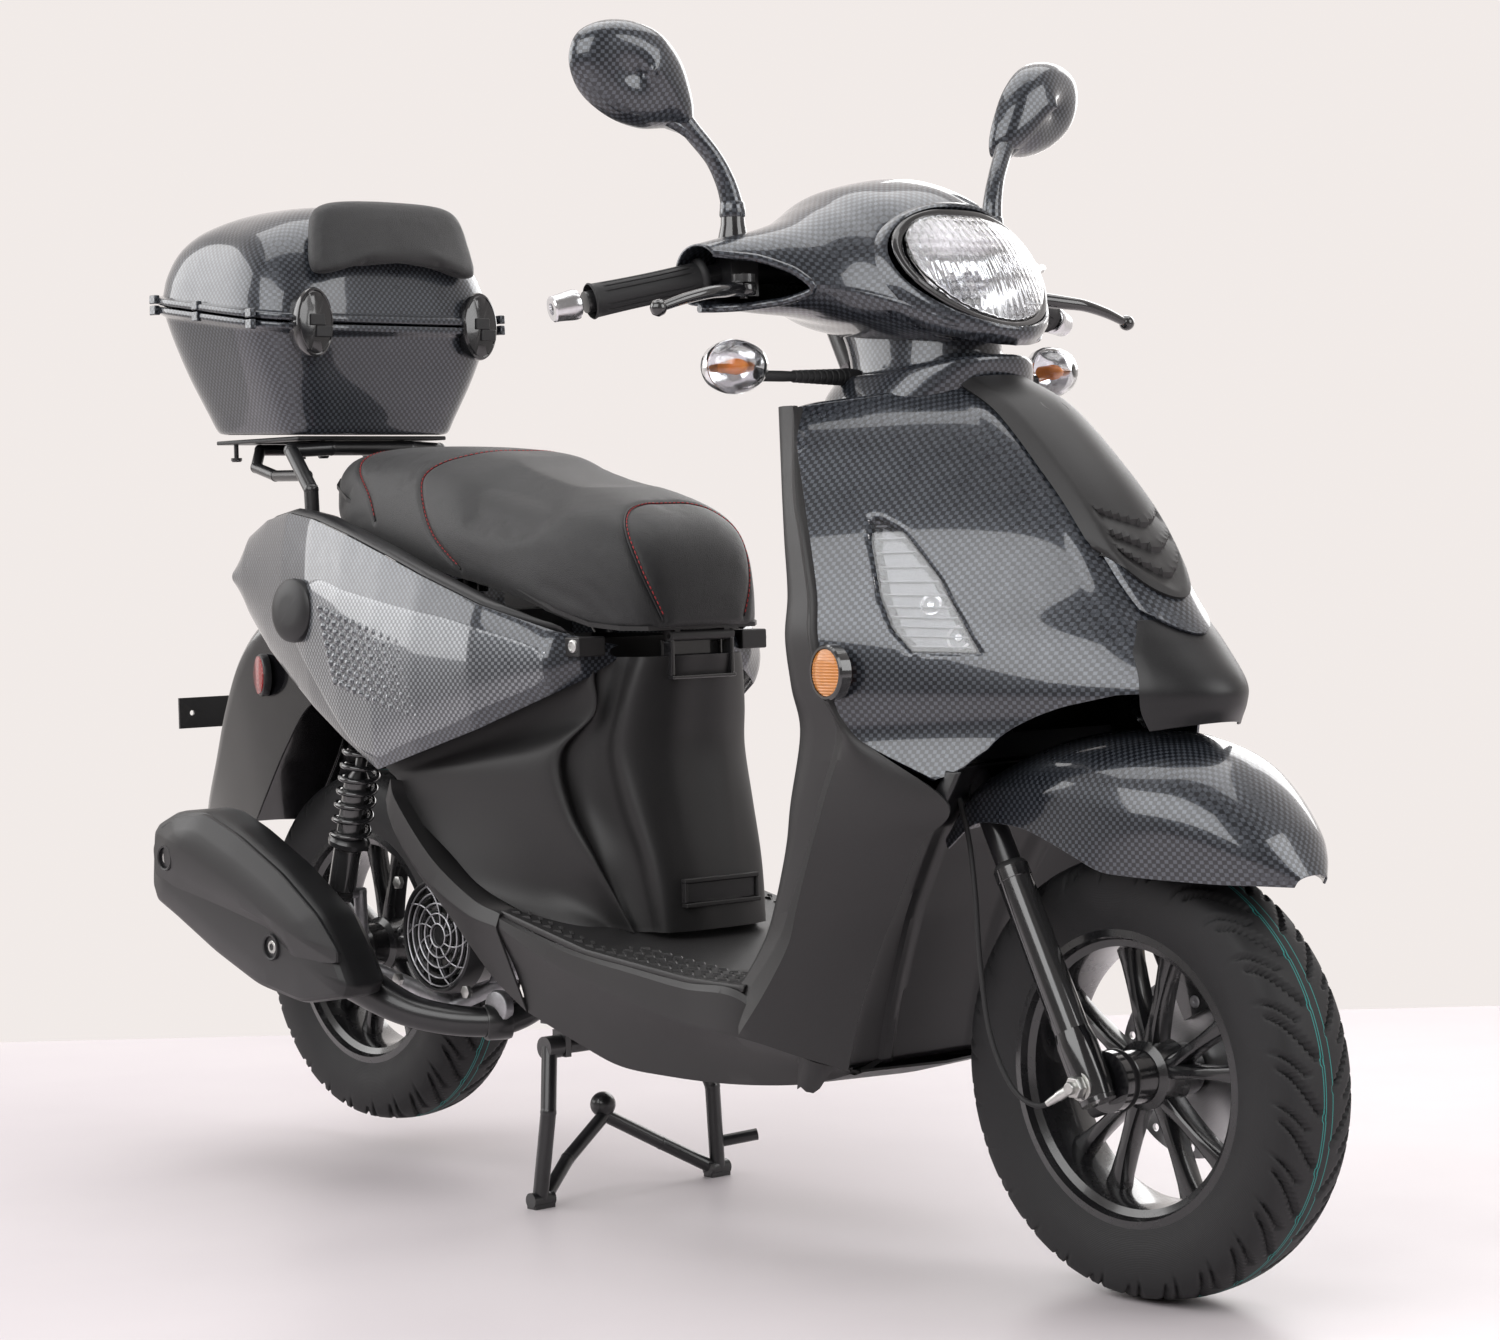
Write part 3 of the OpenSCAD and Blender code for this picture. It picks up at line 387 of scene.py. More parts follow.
def brushed(name, colour, centre):
    """Disc steel with circular brushing about an axle along y."""
    s = Shade(name)
    x, y, z = s.axes()
    dx = s.math("SUBTRACT", x, centre[0] * MM)
    dz = s.math("SUBTRACT", z, centre[2] * MM)
    radius = s.math("SQRT", s.math("ADD", s.math("MULTIPLY", dx, dx), s.math("MULTIPLY", dz, dz)))
    ring = s.noise(1.0, 6.0, 0.7, s.add("CombineXYZ", {0: s.math("MULTIPLY", radius, 2600.0)}))
    s.set("Base Color", s.mix(ring, colour, tuple(c * 0.7 for c in colour)))
    s.set("Metallic", 1.0)
    s.set("Roughness", s.range(ring, 0.3, 0.7, 0.22, 0.42))
    s.set("Normal", s.bump(ring, 0.0002, 0.5))
    return s.mat


def rubber(name, colour=(0.009, 0.009, 0.010), rough=0.58, axle=None, lines=()):
    """Rubber with a dusty bloom; a tyre also has sidewall ribs and thin painted tread lines."""
    s = Shade(name)
    bloom = s.noise(25.0, 5.0, 0.65)
    base = s.mix(s.range(bloom, 0.4, 0.75, 0.0, 0.45), colour, tuple(c * 2.0 + 0.006 for c in colour))
    normal = s.bump(s.noise(700.0, 4.0), 0.0005, 0.25)
    if axle is not None:
        x, y, z = s.axes()
        dx = s.math("SUBTRACT", x, axle[0] * MM)
        dz = s.math("SUBTRACT", z, axle[2] * MM)
        radius = s.math("SQRT", s.math("ADD", s.math("MULTIPLY", dx, dx), s.math("MULTIPLY", dz, dz)))
        tread = s.math("GREATER_THAN", radius, (TYRE_R - 6.5) * MM)
        for at in lines:
            line = s.math("LESS_THAN", s.math("ABSOLUTE", s.math("SUBTRACT", y, at * MM)), 0.0006)
            base = s.mix(s.math("MULTIPLY", s.math("MULTIPLY", line, tread), 0.75), base, (0.02, 0.28, 0.26))
        ribs = s.math("SINE", s.math("MULTIPLY", radius, 2 * math.pi / 0.0016))
        wall = s.math("LESS_THAN", radius, (TYRE_R - 30) * MM)
        normal = s.bump(s.math("MULTIPLY", ribs, wall), 0.0002, 0.25, normal)
    # Painted edge highlight: the colour is lighter along the outward edges.
    s.set("Base Color", s.painted_edge_highlight(base, (0.07, 0.07, 0.07), share=0.35))
    s.set("Roughness", s.range(bloom, 0.3, 0.7, rough, rough + 0.14))
    s.set("Normal", normal)
    return s.mat


def vinyl(name, colour=(0.012, 0.012, 0.013)):
    """Upholstery vinyl: small pebbled grain with soft creases."""
    s = Shade(name)
    grain = s.add("TexVoronoi", {"Vector": s.coords.outputs["Object"], "Scale": 520.0}, feature="DISTANCE_TO_EDGE")
    grain = s.range(grain, 0.0, 0.16)
    crease = s.noise(46.0, 4.0, 0.6)
    s.set("Base Color", s.mix(s.range(crease, 0.35, 0.7, 0.0, 0.4), colour, tuple(c * 1.8 + 0.003 for c in colour)))
    s.set("Roughness", s.range(grain, 0.0, 1.0, 0.62, 0.44))
    s.set("Sheen Weight", 0.12)
    s.set("Normal", s.bump(grain, 0.00035, 0.45, s.bump(crease, 0.0012, 0.12)))
    return s.mat


def lens(name, colour, rough=0.03, facets=0.0, pitch=9.0, through=1.0):
    """Clear or tinted moulded lens, with an optional pattern of small flutes."""
    s = Shade(name)
    x, y, z = s.axes()
    s.set("Base Color", s.mix(s.range(s.noise(30.0), 0.4, 0.8, 0.0, 0.25), colour, tuple(c * 0.85 for c in colour)))
    s.set("Transmission Weight", through)
    s.set("IOR", 1.45)
    s.set("Roughness", s.range(s.noise(80.0), 0.3, 0.7, rough, rough + 0.03))
    s.set("Coat Weight", 0.6)
    if facets:
        flute = s.math("SINE", s.math("MULTIPLY", y, 2 * math.pi / (pitch * MM)))
        rib = s.math("SINE", s.math("MULTIPLY", z, 2 * math.pi / (pitch * MM)))
        s.set("Normal", s.bump(s.math("ADD", flute, rib), 0.0008, facets))
    return s.mat


CARBON = carbon()
MATTE = plastic("charcoal_plastic", (0.0115, 0.0110, 0.0115), 0.46)
DEEP = plastic("black_plastic", (0.006, 0.006, 0.007), 0.40, grain=0.12)
GLOSS = paint("gloss_black", (0.006, 0.006, 0.007))
STEEL = paint("black_steel", (0.008, 0.008, 0.009), rough=0.28, coat=0.4)
WHEEL = paint("wheel_black", (0.009, 0.009, 0.010), rough=0.22, coat=0.7)
ALLOY = metal("cast_alloy", (0.50, 0.50, 0.52), 0.42)
BRIGHT = metal("bright_metal", (0.78, 0.78, 0.80), 0.16, grain=0.1, cast=30.0)
CHROME = metal("lamp_chrome", (0.92, 0.92, 0.93), 0.05, grain=0.05, cast=20.0)
ZINC = metal("zinc_bolt", (0.62, 0.62, 0.60), 0.30)
BRASS = metal("brass", (0.78, 0.55, 0.22), 0.28)
DISC = brushed("disc_steel", (0.66, 0.66, 0.67), FRONT_AXLE)
RUBBER = rubber("black_rubber", (0.010, 0.010, 0.011))
GRIP = rubber("grip_rubber", (0.012, 0.012, 0.013), 0.55)
VINYL = vinyl("seat_vinyl")
THREAD = plastic("red_thread", (0.28, 0.015, 0.018), 0.6, grain=0.5, scale=2500.0)
CLEAR = lens("clear_lens", (0.97, 0.98, 1.0))
FLUTED = lens("fluted_lens", (0.97, 0.98, 1.0), facets=0.25)
AMBER = lens("amber_lens", (0.75, 0.26, 0.02), rough=0.16, facets=0.5, pitch=3.0, through=0.25)
RED = lens("red_lens", (0.42, 0.008, 0.010), rough=0.10, facets=0.35, pitch=6.0, through=0.35)
BULB = plastic("amber_bulb", (0.85, 0.20, 0.02), 0.25)

# ---------- wheels ----------

FRONT_TYRE = rubber("front_tyre_rubber", axle=FRONT_AXLE, lines=(-7.0, -4.0, 5.5))
REAR_TYRE = rubber("rear_tyre_rubber", axle=REAR_AXLE, lines=(-7.0, -4.0, 5.5))


def tyre(name, centre, material, body, node):
    """Tyre with directional grooves cut into its tread."""
    around, across = 1056, 64
    bead = RIM_R - 11
    half = TYRE_HALF
    profile = smooth([[-0.55, bead], [-0.78, bead + 3], [-0.90, bead + 18], [-0.99, bead + 36], [-0.985, TYRE_R - 27],
                      [-0.90, TYRE_R - 13], [-0.70, TYRE_R - 5.5], [-0.36, TYRE_R - 1.4], [0, TYRE_R],
                      [0.36, TYRE_R - 1.4], [0.70, TYRE_R - 5.5], [0.90, TYRE_R - 13], [0.985, TYRE_R - 27],
                      [0.99, bead + 36], [0.90, bead + 18], [0.78, bead + 3], [0.55, bead]], across)
    y = profile[:, 0] * half
    phi = np.linspace(0, 2 * math.pi, around, endpoint=False)[:, None]
    pitches = 26
    shift = 0.30 * (np.abs(y) / half) ** 1.15
    groove = np.zeros((around, across))
    for start, end, width, depth, offset in ((6, 50, 0.085, 6.4, 0.0), (22, 52, 0.062, 5.2, 0.5)):
        phase = ((phi - shift * (1.0 if start < 20 else 0.8)) * pitches / (2 * math.pi) + offset
                 + np.where(y > 0, 0.5, 0.0)) % 1.0
        cut = np.clip((width - np.abs(phase - 0.5)) / (width * 0.5), 0, 1)
        span = np.clip((np.abs(y) - start) / 4, 0, 1) * np.clip((end - np.abs(y)) / 3, 0, 1)
        groove = np.maximum(groove, cut * span * depth)
    tread = profile[:, 1] > TYRE_R - 34
    radius = profile[:, 1] - groove * tread
    grid = np.stack([centre[0] + radius * np.cos(phi), np.broadcast_to(y, radius.shape),
                     centre[2] + radius * np.sin(phi)], axis=2)
    sheet_piece(name, grid, material, body, "tyre_rubber", (node,), ring=True, loop=True, sharp=60)


tyre("front_tyre_tread", FRONT_AXLE, FRONT_TYRE, "front_wheel", "front_tyre")
tyre("rear_tyre_tread", REAR_AXLE, REAR_TYRE, "rear_wheel", "rear_tyre")


def cast_wheel(name, centre, body, node, hub_half, brake_side):
    """Black cast wheel: stepped barrel, five pairs of ribbed spokes and a drum or disc hub."""
    y_axis = [0, 1, 0]
    barrel = [(-44, RIM_R - 1), (-45, RIM_R - 9), (-38, RIM_R - 12), (-34, RIM_R - 19), (-24, RIM_R - 22),
              (0, RIM_R - 24), (24, RIM_R - 22), (34, RIM_R - 19), (38, RIM_R - 12), (45, RIM_R - 9),
              (44, RIM_R - 1), (38, RIM_R - 4), (26, RIM_R - 12), (0, RIM_R - 15), (-26, RIM_R - 12), (-38, RIM_R - 4)]
    parts = [lathe(barrel, centre, y_axis, 160)]
    hub = [(-hub_half, 9), (-hub_half, 22), (-hub_half + 4, 26), (-22, 27), (-17, 34), (17, 34), (22, 27),
           (hub_half - 4, 26), (hub_half, 22), (hub_half, 9)]
    parts.append(lathe(hub, centre, y_axis, 64))
    for i in range(5):
        for s in (-1, 1):
            angle = 90 + i * 72 + s * 13
            root, tip = 27, RIM_R - 20
            rows = []
            for k in np.linspace(0, 1, 7):
                r = root + (tip - root) * k
                wide = 9.5 - 3.2 * math.sin(math.pi * min(1, k * 1.15)) + (3.5 if k > 0.9 else 0)
                deep = 15 - 4 * k
                ox, oy = superellipse(14, 0.55)
                rows.append(np.stack([np.full(14, centre[0] + r), centre[1] + oy * deep,
                                      centre[2] + ox * wide + s * (-4 * (1 - k))], axis=1))
            part = (np.array(rows).reshape(-1, 3), grid_faces(7, 14, ring=True))
            parts.append(turned(part, centre, -angle))
    piece(name, *join_parts(parts), WHEEL, body, "gloss_metal", (node,), sharp=32)


cast_wheel("front_cast_wheel", FRONT_AXLE, "front_wheel", "front_rim", 50, 1)
cast_wheel("rear_cast_wheel", REAR_AXLE, "rear_wheel", "rear_rim", 48, 1)


# ---------- front fork, axle and speedometer drive -------


def fork_legs():
    up = [-math.sin(RAKE), 0, math.cos(RAKE)]
    parts, bands = [], []
    for side in (-1, 1):
        foot = steer(FORK_OFFSET, side * FORK_HALF, 0)
        leg = [(-34, 4), (-34, 12), (-29, 18), (-14, 20), (26, 20), (40, 17.5), (52, 16), (196, 15.2), (200, 18),
               (212, 18), (212, 13.2)]
        parts.append(lathe(leg, foot, up, 48))
        bands.append(lathe([(212.3, 13.3), (212.3, 17), (216, 16), (218, 13.3)], foot, up, 40))
    piece("fork_sliders", *join_parts(parts), GLOSS, "fork_lower", "gloss_metal", (), sharp=30)
    piece("fork_dust_seals", *join_parts(bands), RUBBER, "fork_lower", "pad_rubber", (), sharp=40)


fork_legs()
axle_parts = [
    lathe([(-64, 8), (-64, 26), (-60, 30), (-56, 31), (-53, 31), (-53, 8)], FRONT_AXLE, [0, 1, 0], 56),
    lathe([(53, 8), (53, 24), (66, 22), (70, 16), (70, 8)], FRONT_AXLE, [0, 1, 0], 48),
    tube([FRONT_AXLE + [-4, -59, -22], FRONT_AXLE + [-26, -60, -30]], 9, n=20),
]
piece("speedo_drive", *join_parts(axle_parts), DEEP, "fork_lower", "gloss_metal", (), sharp=35, bevel=0.6)
nut = lathe([(-116, 3), (-116, 10.5), (-113, 11.5), (-107, 11.5), (-106, 10)], FRONT_AXLE, [0, 1, 0], 6)
washer = lathe([(-106, 4), (-106, 14), (-103.5, 14), (-103.5, 4)], FRONT_AXLE, [0, 1, 0], 40)
stud = lathe([(-122, 0.1), (-122, 5.4), (-120, 6.2), (-100, 6.2), (-100, 0.1)], FRONT_AXLE, [0, 1, 0], 32)
piece("front_axle_nut", *join_parts([nut, washer, stud]), ZINC, "fork_lower", "bright_steel", (), bevel=0.5)


# ---------- fender ----------


def arch(x, crown, half, drop, lean=0.0, square=0.5, n=17):
    a = np.linspace(-90, 90, n)
    c = 1 - np.power(np.maximum(np.cos(np.radians(a)), 0), square)
    return np.stack([x - lean * c, half * np.sin(np.radians(a)), crown - drop * c], axis=1)


FENDER = [[905, 425, 22, 11], [893, 449, 46, 33], [878, 473, 64, 56], [844, 508, 86, 88], [806, 535, 101, 112],
          [757, 551, 110, 124], [707, 556, 114, 116], [660, 553, 115, 100], [620, 545, 114, 82], [580, 529, 113, 62],
          [548, 508, 112, 44], [514, 458, 106, 20]]
rows = [arch(x, z, half, drop, (x - FRONT_AXLE[0]) * drop / 330, 0.55) for x, z, half, drop in FENDER]
sheet_piece("front_fender_shell", patch(rows, 90, 64), CARBON, "steering", "carbon_gloss", ("front_fender",),
            thick=2.6, bevel=0.7)


# ---------- front panel ----------

# Level lines of the front cover: front x, front z, side x, half width, side z
SHIELD = np.array([[514, 898, 370, 150, 880], [574, 868, 388, 168, 846], [637, 812, 414, 184, 796],
                   [688, 754, 440, 200, 747], [733, 682, 464, 214, 692], [770, 638, 474, 223, 649],
                   [800, 602, 486, 219, 600], [802, 584, 505, 206, 556], [790, 566, 590, 180, 514]], float)
TIP_ROUND = 0.55


def shield(level, across):
    """Point of the front cover at a level from 0 to 8 and across from -1 to 1, and its outward normal."""

    def at(s, t):
        i = int(min(max(s, 0), len(SHIELD) - 1.001))
        f = s - i
        m = SHIELD_SLOPE
        row = ((2 * f**3 - 3 * f**2 + 1) * SHIELD[i] + (f**3 - 2 * f**2 + f) * m[i]
               + (3 * f**2 - 2 * f**3) * SHIELD[i + 1] + (f**3 - f**2) * m[i + 1])
        fx, fz, sx, half, sz = row
        u = abs(t)
        c = 1 - (math.sqrt(u * u + TIP_ROUND**2) - TIP_ROUND) / (math.sqrt(1 + TIP_ROUND**2) - TIP_ROUND)
        return np.array([sx + (fx - sx) * c, half * t, sz + (fz - sz) * c])

    p = at(level, across)
    ds = at(min(level + 0.02, 7.99), across) - at(max(level - 0.02, 0.0), across)
    dt = at(level, min(across + 0.01, 1)) - at(level, max(across - 0.01, -1))
    n = np.cross(dt, ds)
    n = n / np.linalg.norm(n)
    if n[0] < 0:
        n = -n
    return p, n


SHIELD_SLOPE = np.gradient(SHIELD, axis=0)


def on_shield(levels, spans, rise, columns=24):
    """Patch of the front cover between two edges per level, raised off it by rise."""
    grid = []
    for k, (s, (a, b)) in enumerate(zip(levels, spans)):
        row = []
        for j, t in enumerate(np.linspace(a, b, columns)):
            p, n = shield(s, t)
            lift = rise(k / (len(levels) - 1), j / (columns - 1)) if callable(rise) else rise
            row.append(p + n * lift)
        grid.append(row)
    return np.array(grid)


def lamp_edges(k):
    """Inner and outer edge of the marker lamp, from its top at 0 to its foot at 1."""
    inner = np.interp(k, [0, 0.12, 0.4, 0.7, 1], [0.815, 0.755, 0.695, 0.668, 0.652])
    outer = np.interp(k, [0, 0.2, 0.5, 0.8, 1], [0.845, 0.862, 0.868, 0.848, 0.815])
    return float(inner), float(outer)


def inside_lamp(s, t):
    """Share from 0 outside to 1 well inside the marker lamp's recess."""
    u = abs(t)
    top, low = 2.62, 5.28
    k = np.clip((s - top) / (low - top), 0, 1)
    inner, outer = lamp_edges(k)
    edge = min((s - top) / 0.16, (low - s) / 0.16, (outer - u) / 0.028, (u - inner) / 0.028)
    return float(np.clip(edge, 0, 1))




def wheel_arch_edge(t):
    """Level at which the front cover ends above the wheel."""
    return float(np.interp(abs(t), [0.39, 0.525, 0.64, 0.79, 0.9, 0.975], [6.3, 6.65, 7.1, 7.65, 7.9, 8.0]))


rows = []
for level in np.linspace(0, 8, 150):
    row = []
    for t in np.concatenate([np.linspace(-1, -0.55, 50), np.linspace(-0.54, 0.54, 45), np.linspace(0.55, 1, 50)]):
        s = min(level, 5) + max(0, level - 5) * (wheel_arch_edge(t) - 5) / 3
        p, n = shield(s, t)
        lift = -9.0 * inside_lamp(s, t)
        lift += 1.6 * math.exp(-(((abs(t) - (0.36 - 0.02 * s)) / 0.012) ** 2)) * (1 if s < 6.4 else 0)
        row.append(p + n * lift)
    flange = [row[0] + np.array([-10, 5, -1.0]), row[-1] + np.array([-10, -5, -1.0])]
    rows.append([flange[0], *row, flange[1]])
sheet_piece("front_cover", rows, CARBON, "frame", "carbon_gloss", ("front_panel",), thick=2.6, bevel=0.6, sharp=44)


def insert_half(s):
    return float(np.interp(s, [0, 1, 2, 3, 3.6, 4.0], [0.30, 0.29, 0.285, 0.27, 0.25, 0.225]))


levels = np.linspace(0.0, 4.1, 90)


def insert_rise(k, j):
    """Crowned centre strip with three stepped louvres near its tip."""
    s, t = 4.1 * k, 2 * j - 1
    rise = 3.0 + 5.0 * min(1.0, (1 - abs(t)) / 0.22)
    bend = s + 0.42 * abs(t) ** 1.5 - 0.10
    for start in (2.95, 3.28, 3.60):
        into = (bend - start) / 0.30
        if 0 <= into <= 1 and abs(t) < 0.74:
            rise -= 5.0 * (1 - into) * min(1.0, (0.74 - abs(t)) / 0.08)
    return rise


spans = []
for s in levels:
    half = insert_half(s)
    spans.append((-half, half))
grid = on_shield(levels, spans, insert_rise, 61)
for k, s in enumerate(levels):
    swing = np.abs(np.linspace(-1, 1, 61)) ** 2.0 * max(0.0, (s - 3.2) / 0.9)
    for j in range(61):
        lift_p, _ = shield(max(0.0, s - 0.75 * swing[j]), np.linspace(*spans[k], 61)[j])
        base_p, n = shield(s, np.linspace(*spans[k], 61)[j])
        grid[k, j] += lift_p - base_p
sheet_piece("centre_insert", grid, MATTE, "frame", "matte_black", ("panel_insert",), thick=4.0, bevel=0.8, sharp=30)
badge_p, badge_n = shield(1.05, 0.0)
badge_p = badge_p + badge_n * 7.5
badge = [
    lathe([(0, 0.1), (0, 17), (2.4, 17), (3.2, 16), (3.2, 13.6), (2.2, 13), (2.0, 0.1)], badge_p, badge_n, 56),
]
piece("blank_badge", *join_parts(badge), GLOSS, "frame", "matte_black", (), sharp=30)


def nose_spans(levels):
    out = []
    for s in levels:
        half = float(np.interp(s, [4.5, 5.2, 6.2, 7.2, 8.0], [0.22, 0.29, 0.33, 0.34, 0.34]))
        out.append((-half, half))
    return out


levels = np.linspace(4.45, 7.95, 60)
grid = on_shield(levels, nose_spans(levels), lambda k, j: 1.2 + 1.2 * min(1, (1 - abs(2 * j - 1)) / 0.1), 49)
sheet_piece("nose_strip", grid, DEEP, "frame", "matte_black", (), thick=2.5, bevel=0.7)
levels = np.linspace(3.95, 4.85, 26)
grid = on_shield(levels, [(-0.235 + 0.05 * (s - 3.95), 0.235 - 0.05 * (s - 3.95)) for s in levels],
                 lambda k, j: 3.4 + 2.0 * min(1, (1 - abs(2 * j - 1)) / 0.15), 41)
for k, s in enumerate(levels):
    for j, t in enumerate(np.linspace(-1, 1, 41)):
        a, _ = shield(max(0.0, s - 0.62 * t * t), t * 0.225)
        b, _ = shield(s, t * 0.225)
        grid[k, j] += a - b
sheet_piece("insert_tip", grid, CARBON, "frame", "carbon_gloss", (), thick=3.0, bevel=0.7)

# ---------- fork details ----------


def brake_parts():
    """Floating caliper and hose union on the left slider, tilted with the fork."""
    at = steer(FORK_OFFSET + 46, 57, 56)
    parts = [block(at - [22, 14, 29], at + [22, -3.6, 29], 0.86), block(at - [20, -5.6, 25], at + [20, 18, 25], 0.86)]
    parts += [lathe([(-16, 0.1), (-16, 6.5), (20, 6.5), (22, 5), (22, 0.1)], at + [0, 0, dz], [0, 1, 0], 24)
              for dz in (-19, 19)]
    union = [lathe([(20, 0.1), (20, 7.5), (28, 7.5), (30, 6), (30, 0.1)], at + [0, 0, 4], [0, 1, 0], 6),
             tube([at + [0, 24, 4], at + [6, 24, 22], at + [4, 24, 40]], 4.2, n=14)]
    piece("brake_caliper", *join_parts([turned(p, at, -27) for p in parts]), ALLOY, "fork_lower", "bright_steel",
          (), bevel=1.6)
    piece("hose_union", *join_parts([turned(p, at, -27) for p in union]), BRASS, "fork_lower", "bright_steel",
          (), bevel=0.5)


brake_parts()


# ---------- neck, collar and turn signals ----------


def level_ring(x, long, half, z, arch=0.0, n=72, e=0.86):
    """Level ring round the neck; arch lifts its front."""
    c, s = superellipse(n, e)
    return np.stack([x + long * c, half * s, z + arch * np.maximum(c, 0) ** 1.5], axis=1)


NECK = [(398, 98, 104, 876, 0), (404, 103, 96, 892, 6), (410, 104, 88, 904, 16), (411, 103, 83, 910, 17),
        (410, 98, 77, 912, 14), (405, 84, 67, 914, 10), (402, 82, 63, 924, 6), (398, 86, 60, 944, 2),
        (392, 92, 58, 964, 0)]
sheet_piece("neck_column", patch([level_ring(*r) for r in NECK], 60, 72), CARBON, "frame", "carbon_gloss",
            ("neck_cowl",), ring=True, thick=2.6, bevel=0.5, flip=True, sharp=50)
band = [level_ring(392, 92.6, 58.6, 958), level_ring(392, 93.4, 59.4, 959), level_ring(390, 94.4, 59.4, 974),
        level_ring(390, 93, 58, 976)]
sheet_piece("neck_band", band, DEEP, "frame", "gloss_black", ring=True, thick=2.0, flip=True)
shoulder = []
for k in np.linspace(0, 1, 14):
    row = []
    for t in np.linspace(-1, 1, 61):
        edge, n = shield(0, t)
        angle = t * math.pi / 2
        inner = np.array([398 + 97 * math.cos(angle), 103 * math.sin(angle), 880])
        row.append(edge + (inner - edge) * k + [0, 0, 5 * math.sin(math.pi * k)])
    shoulder.append(row)
sheet_piece("neck_shoulder", shoulder, CARBON, "frame", "carbon_gloss", thick=2.4, flip=True)


def turn_signal_parts():
    at = centre_of("turn_signals") * [0, 0, 1] + [356, 0, 0]
    for name, material, slot, profile in (
            ("signal_lenses", CLEAR, "clear_lens", [(5, 27), (12, 26.5), (22, 22.5), (31, 14), (36, 5), (37, 0.1),
                                                    (35, 0.1), (30, 12), (20, 20.5), (6, 25)]),
            ("signal_shells", CHROME, "bright_steel", [(4.8, 27.4), (1, 27.6), (-8, 25.5), (-17, 19), (-23, 9),
                                                       (-24, 0.1), (-22, 0.1), (-15, 18), (-6, 24), (4.6, 26)]),
            ("signal_bulbs", BULB, "amber_lens", [(-6, 0.1), (-6, 7), (6, 8.5), (13, 7.5), (19, 4), (21, 0.1)])):
        parts = []
        for side in (-1, 1):
            v, f = lathe(profile, [0, 0, 0], [1, 0, 0], 56)
            v = v * [1, 1.22, 1] + [at[0], side * 227, at[2]]
            v[:, 0] -= 0.10 * (np.abs(v[:, 1]) - 227)
            parts.append((v, f))
        piece(name, *join_parts(parts), material, "frame", slot,
              ("turn_signals",) if name == "signal_lenses" else (), sharp=50)
    ribs = []
    for k in range(9):
        ribs += [(k * 8.0, 8.8 - 0.3 * k), (k * 8.0 + 5, 8.8 - 0.3 * k), (k * 8.0 + 5.6, 7.6 - 0.3 * k),
                 (k * 8.0 + 7.4, 7.6 - 0.3 * k)]
    profile = [(-30, 0.1), (-30, 7), (-6, 9.4), (-1, 9.4), *ribs, (84, 5.6), (118, 5.6), (118, 0.1)]
    v, f = lathe(profile, [364, -82, at[2] - 9], [0, -1, 0], 32)
    piece("signal_stalks", v, f, RUBBER, "frame", "clear_lens", both=True, sharp=30)


turn_signal_parts()


# ---------- marker lamps and side reflectors ----------


def lamp_sheet(name, material, slot, sink, nodes=(), **more):
    """Sheet that follows the marker lamp's recess, sunk below the cover."""
    grid = []
    for k in np.linspace(0.0, 1.0, 40):
        s = 2.62 + (5.28 - 2.62) * k
        inner, outer = lamp_edges(k)
        row = []
        for t in np.linspace(inner + 0.004, outer - 0.004, 24):
            p, n = shield(s, -t)
            row.append(p - n * sink)
        grid.append(row)
    v = np.array(grid)
    piece(name, v, grid_faces(*v.shape[:2]), material, "frame", slot, nodes, both=True, **more)


lamp_sheet("marker_lenses", CLEAR, "clear_lens", 1.2, ("marker_lamps",), thick=1.8, outward=-1)
SMOKED = plastic("smoked_mirror", (0.20, 0.205, 0.22), 0.22, grain=0.05)
lamp_sheet("marker_reflectors", SMOKED, "clear_lens", 7.0, thick=0.8, outward=-1)


def marker_cells():
    """Ledges between the reflector cells, and the pale rim round the lamp."""
    ledges, rim = [], []
    for k in np.linspace(0.07, 0.93, 11):
        inner, outer = lamp_edges(k)
        rows = []
        for sink in (2.2, 7.0):
            row = []
            for t in np.linspace(inner + 0.006, outer - 0.006, 14):
                p, n = shield(2.62 + 2.66 * k, -t)
                row.append(p - n * sink)
            rows.append(row)
        v = np.array(rows)
        ledges.append((v, grid_faces(2, 14)))
    for k, edge in [(k, 1) for k in np.linspace(0, 1, 30)] + [(k, 0) for k in np.linspace(1, 0, 30)]:
        p, n = shield(2.62 + 2.66 * k, -lamp_edges(k)[edge])
        rim.append(p + n * 0.3)
    rim.append(rim[0])
    piece("marker_cell_ledges", *join_parts(ledges), SMOKED, "frame", "clear_lens", both=True, thick=1.2)
    piece("marker_rims", *tube(rim, 1.7, n=10, samples=180), BRIGHT, "frame", "bright_steel", both=True)


marker_cells()


def marker_bulbs():
    parts = []
    for s, t, r in ((4.1, 0.745, 8), (4.85, 0.70, 9.5)):
        p, n = shield(s, -t)
        parts.append(lathe([(-6.5, r + 3), (-4.2, r + 3), (-5.2, r), (-6.8, r)], p, n, 40))
        parts.append(lathe([(-6.5, 0.1), (-6.5, 3.6), (-3.4, 3.4), (-2.6, 0.1)], p, n, 24))
    piece("marker_bulb_rings", *join_parts(parts), BRIGHT, "frame", "bright_steel", both=True, sharp=40)


marker_bulbs()
reflector_at = np.array([centre_of("side_reflectors")[0], -size_of("side_reflectors")[1] / 2 + 10, 618])
reflector_axis = np.array([math.sin(math.radians(-8)), -math.cos(math.radians(-8)), 0])
piece("reflector_rings", *lathe([(-6, 20), (-6, 27.5), (5, 27.5), (7, 26), (7, 23.6), (4, 23), (4, 20)],
                                reflector_at, reflector_axis, 64), GLOSS, "frame", "gloss_black", both=True, sharp=35)
piece("reflector_lenses", *lathe([(4, 0.1), (4, 23), (6, 23), (7.4, 18), (8.2, 9), (8.4, 0.1)],
                                 reflector_at, reflector_axis, 64), AMBER, "frame", "amber_lens",
      ("side_reflectors",), both=True, sharp=35)


# ---------- leg shield and wheel liner ----------

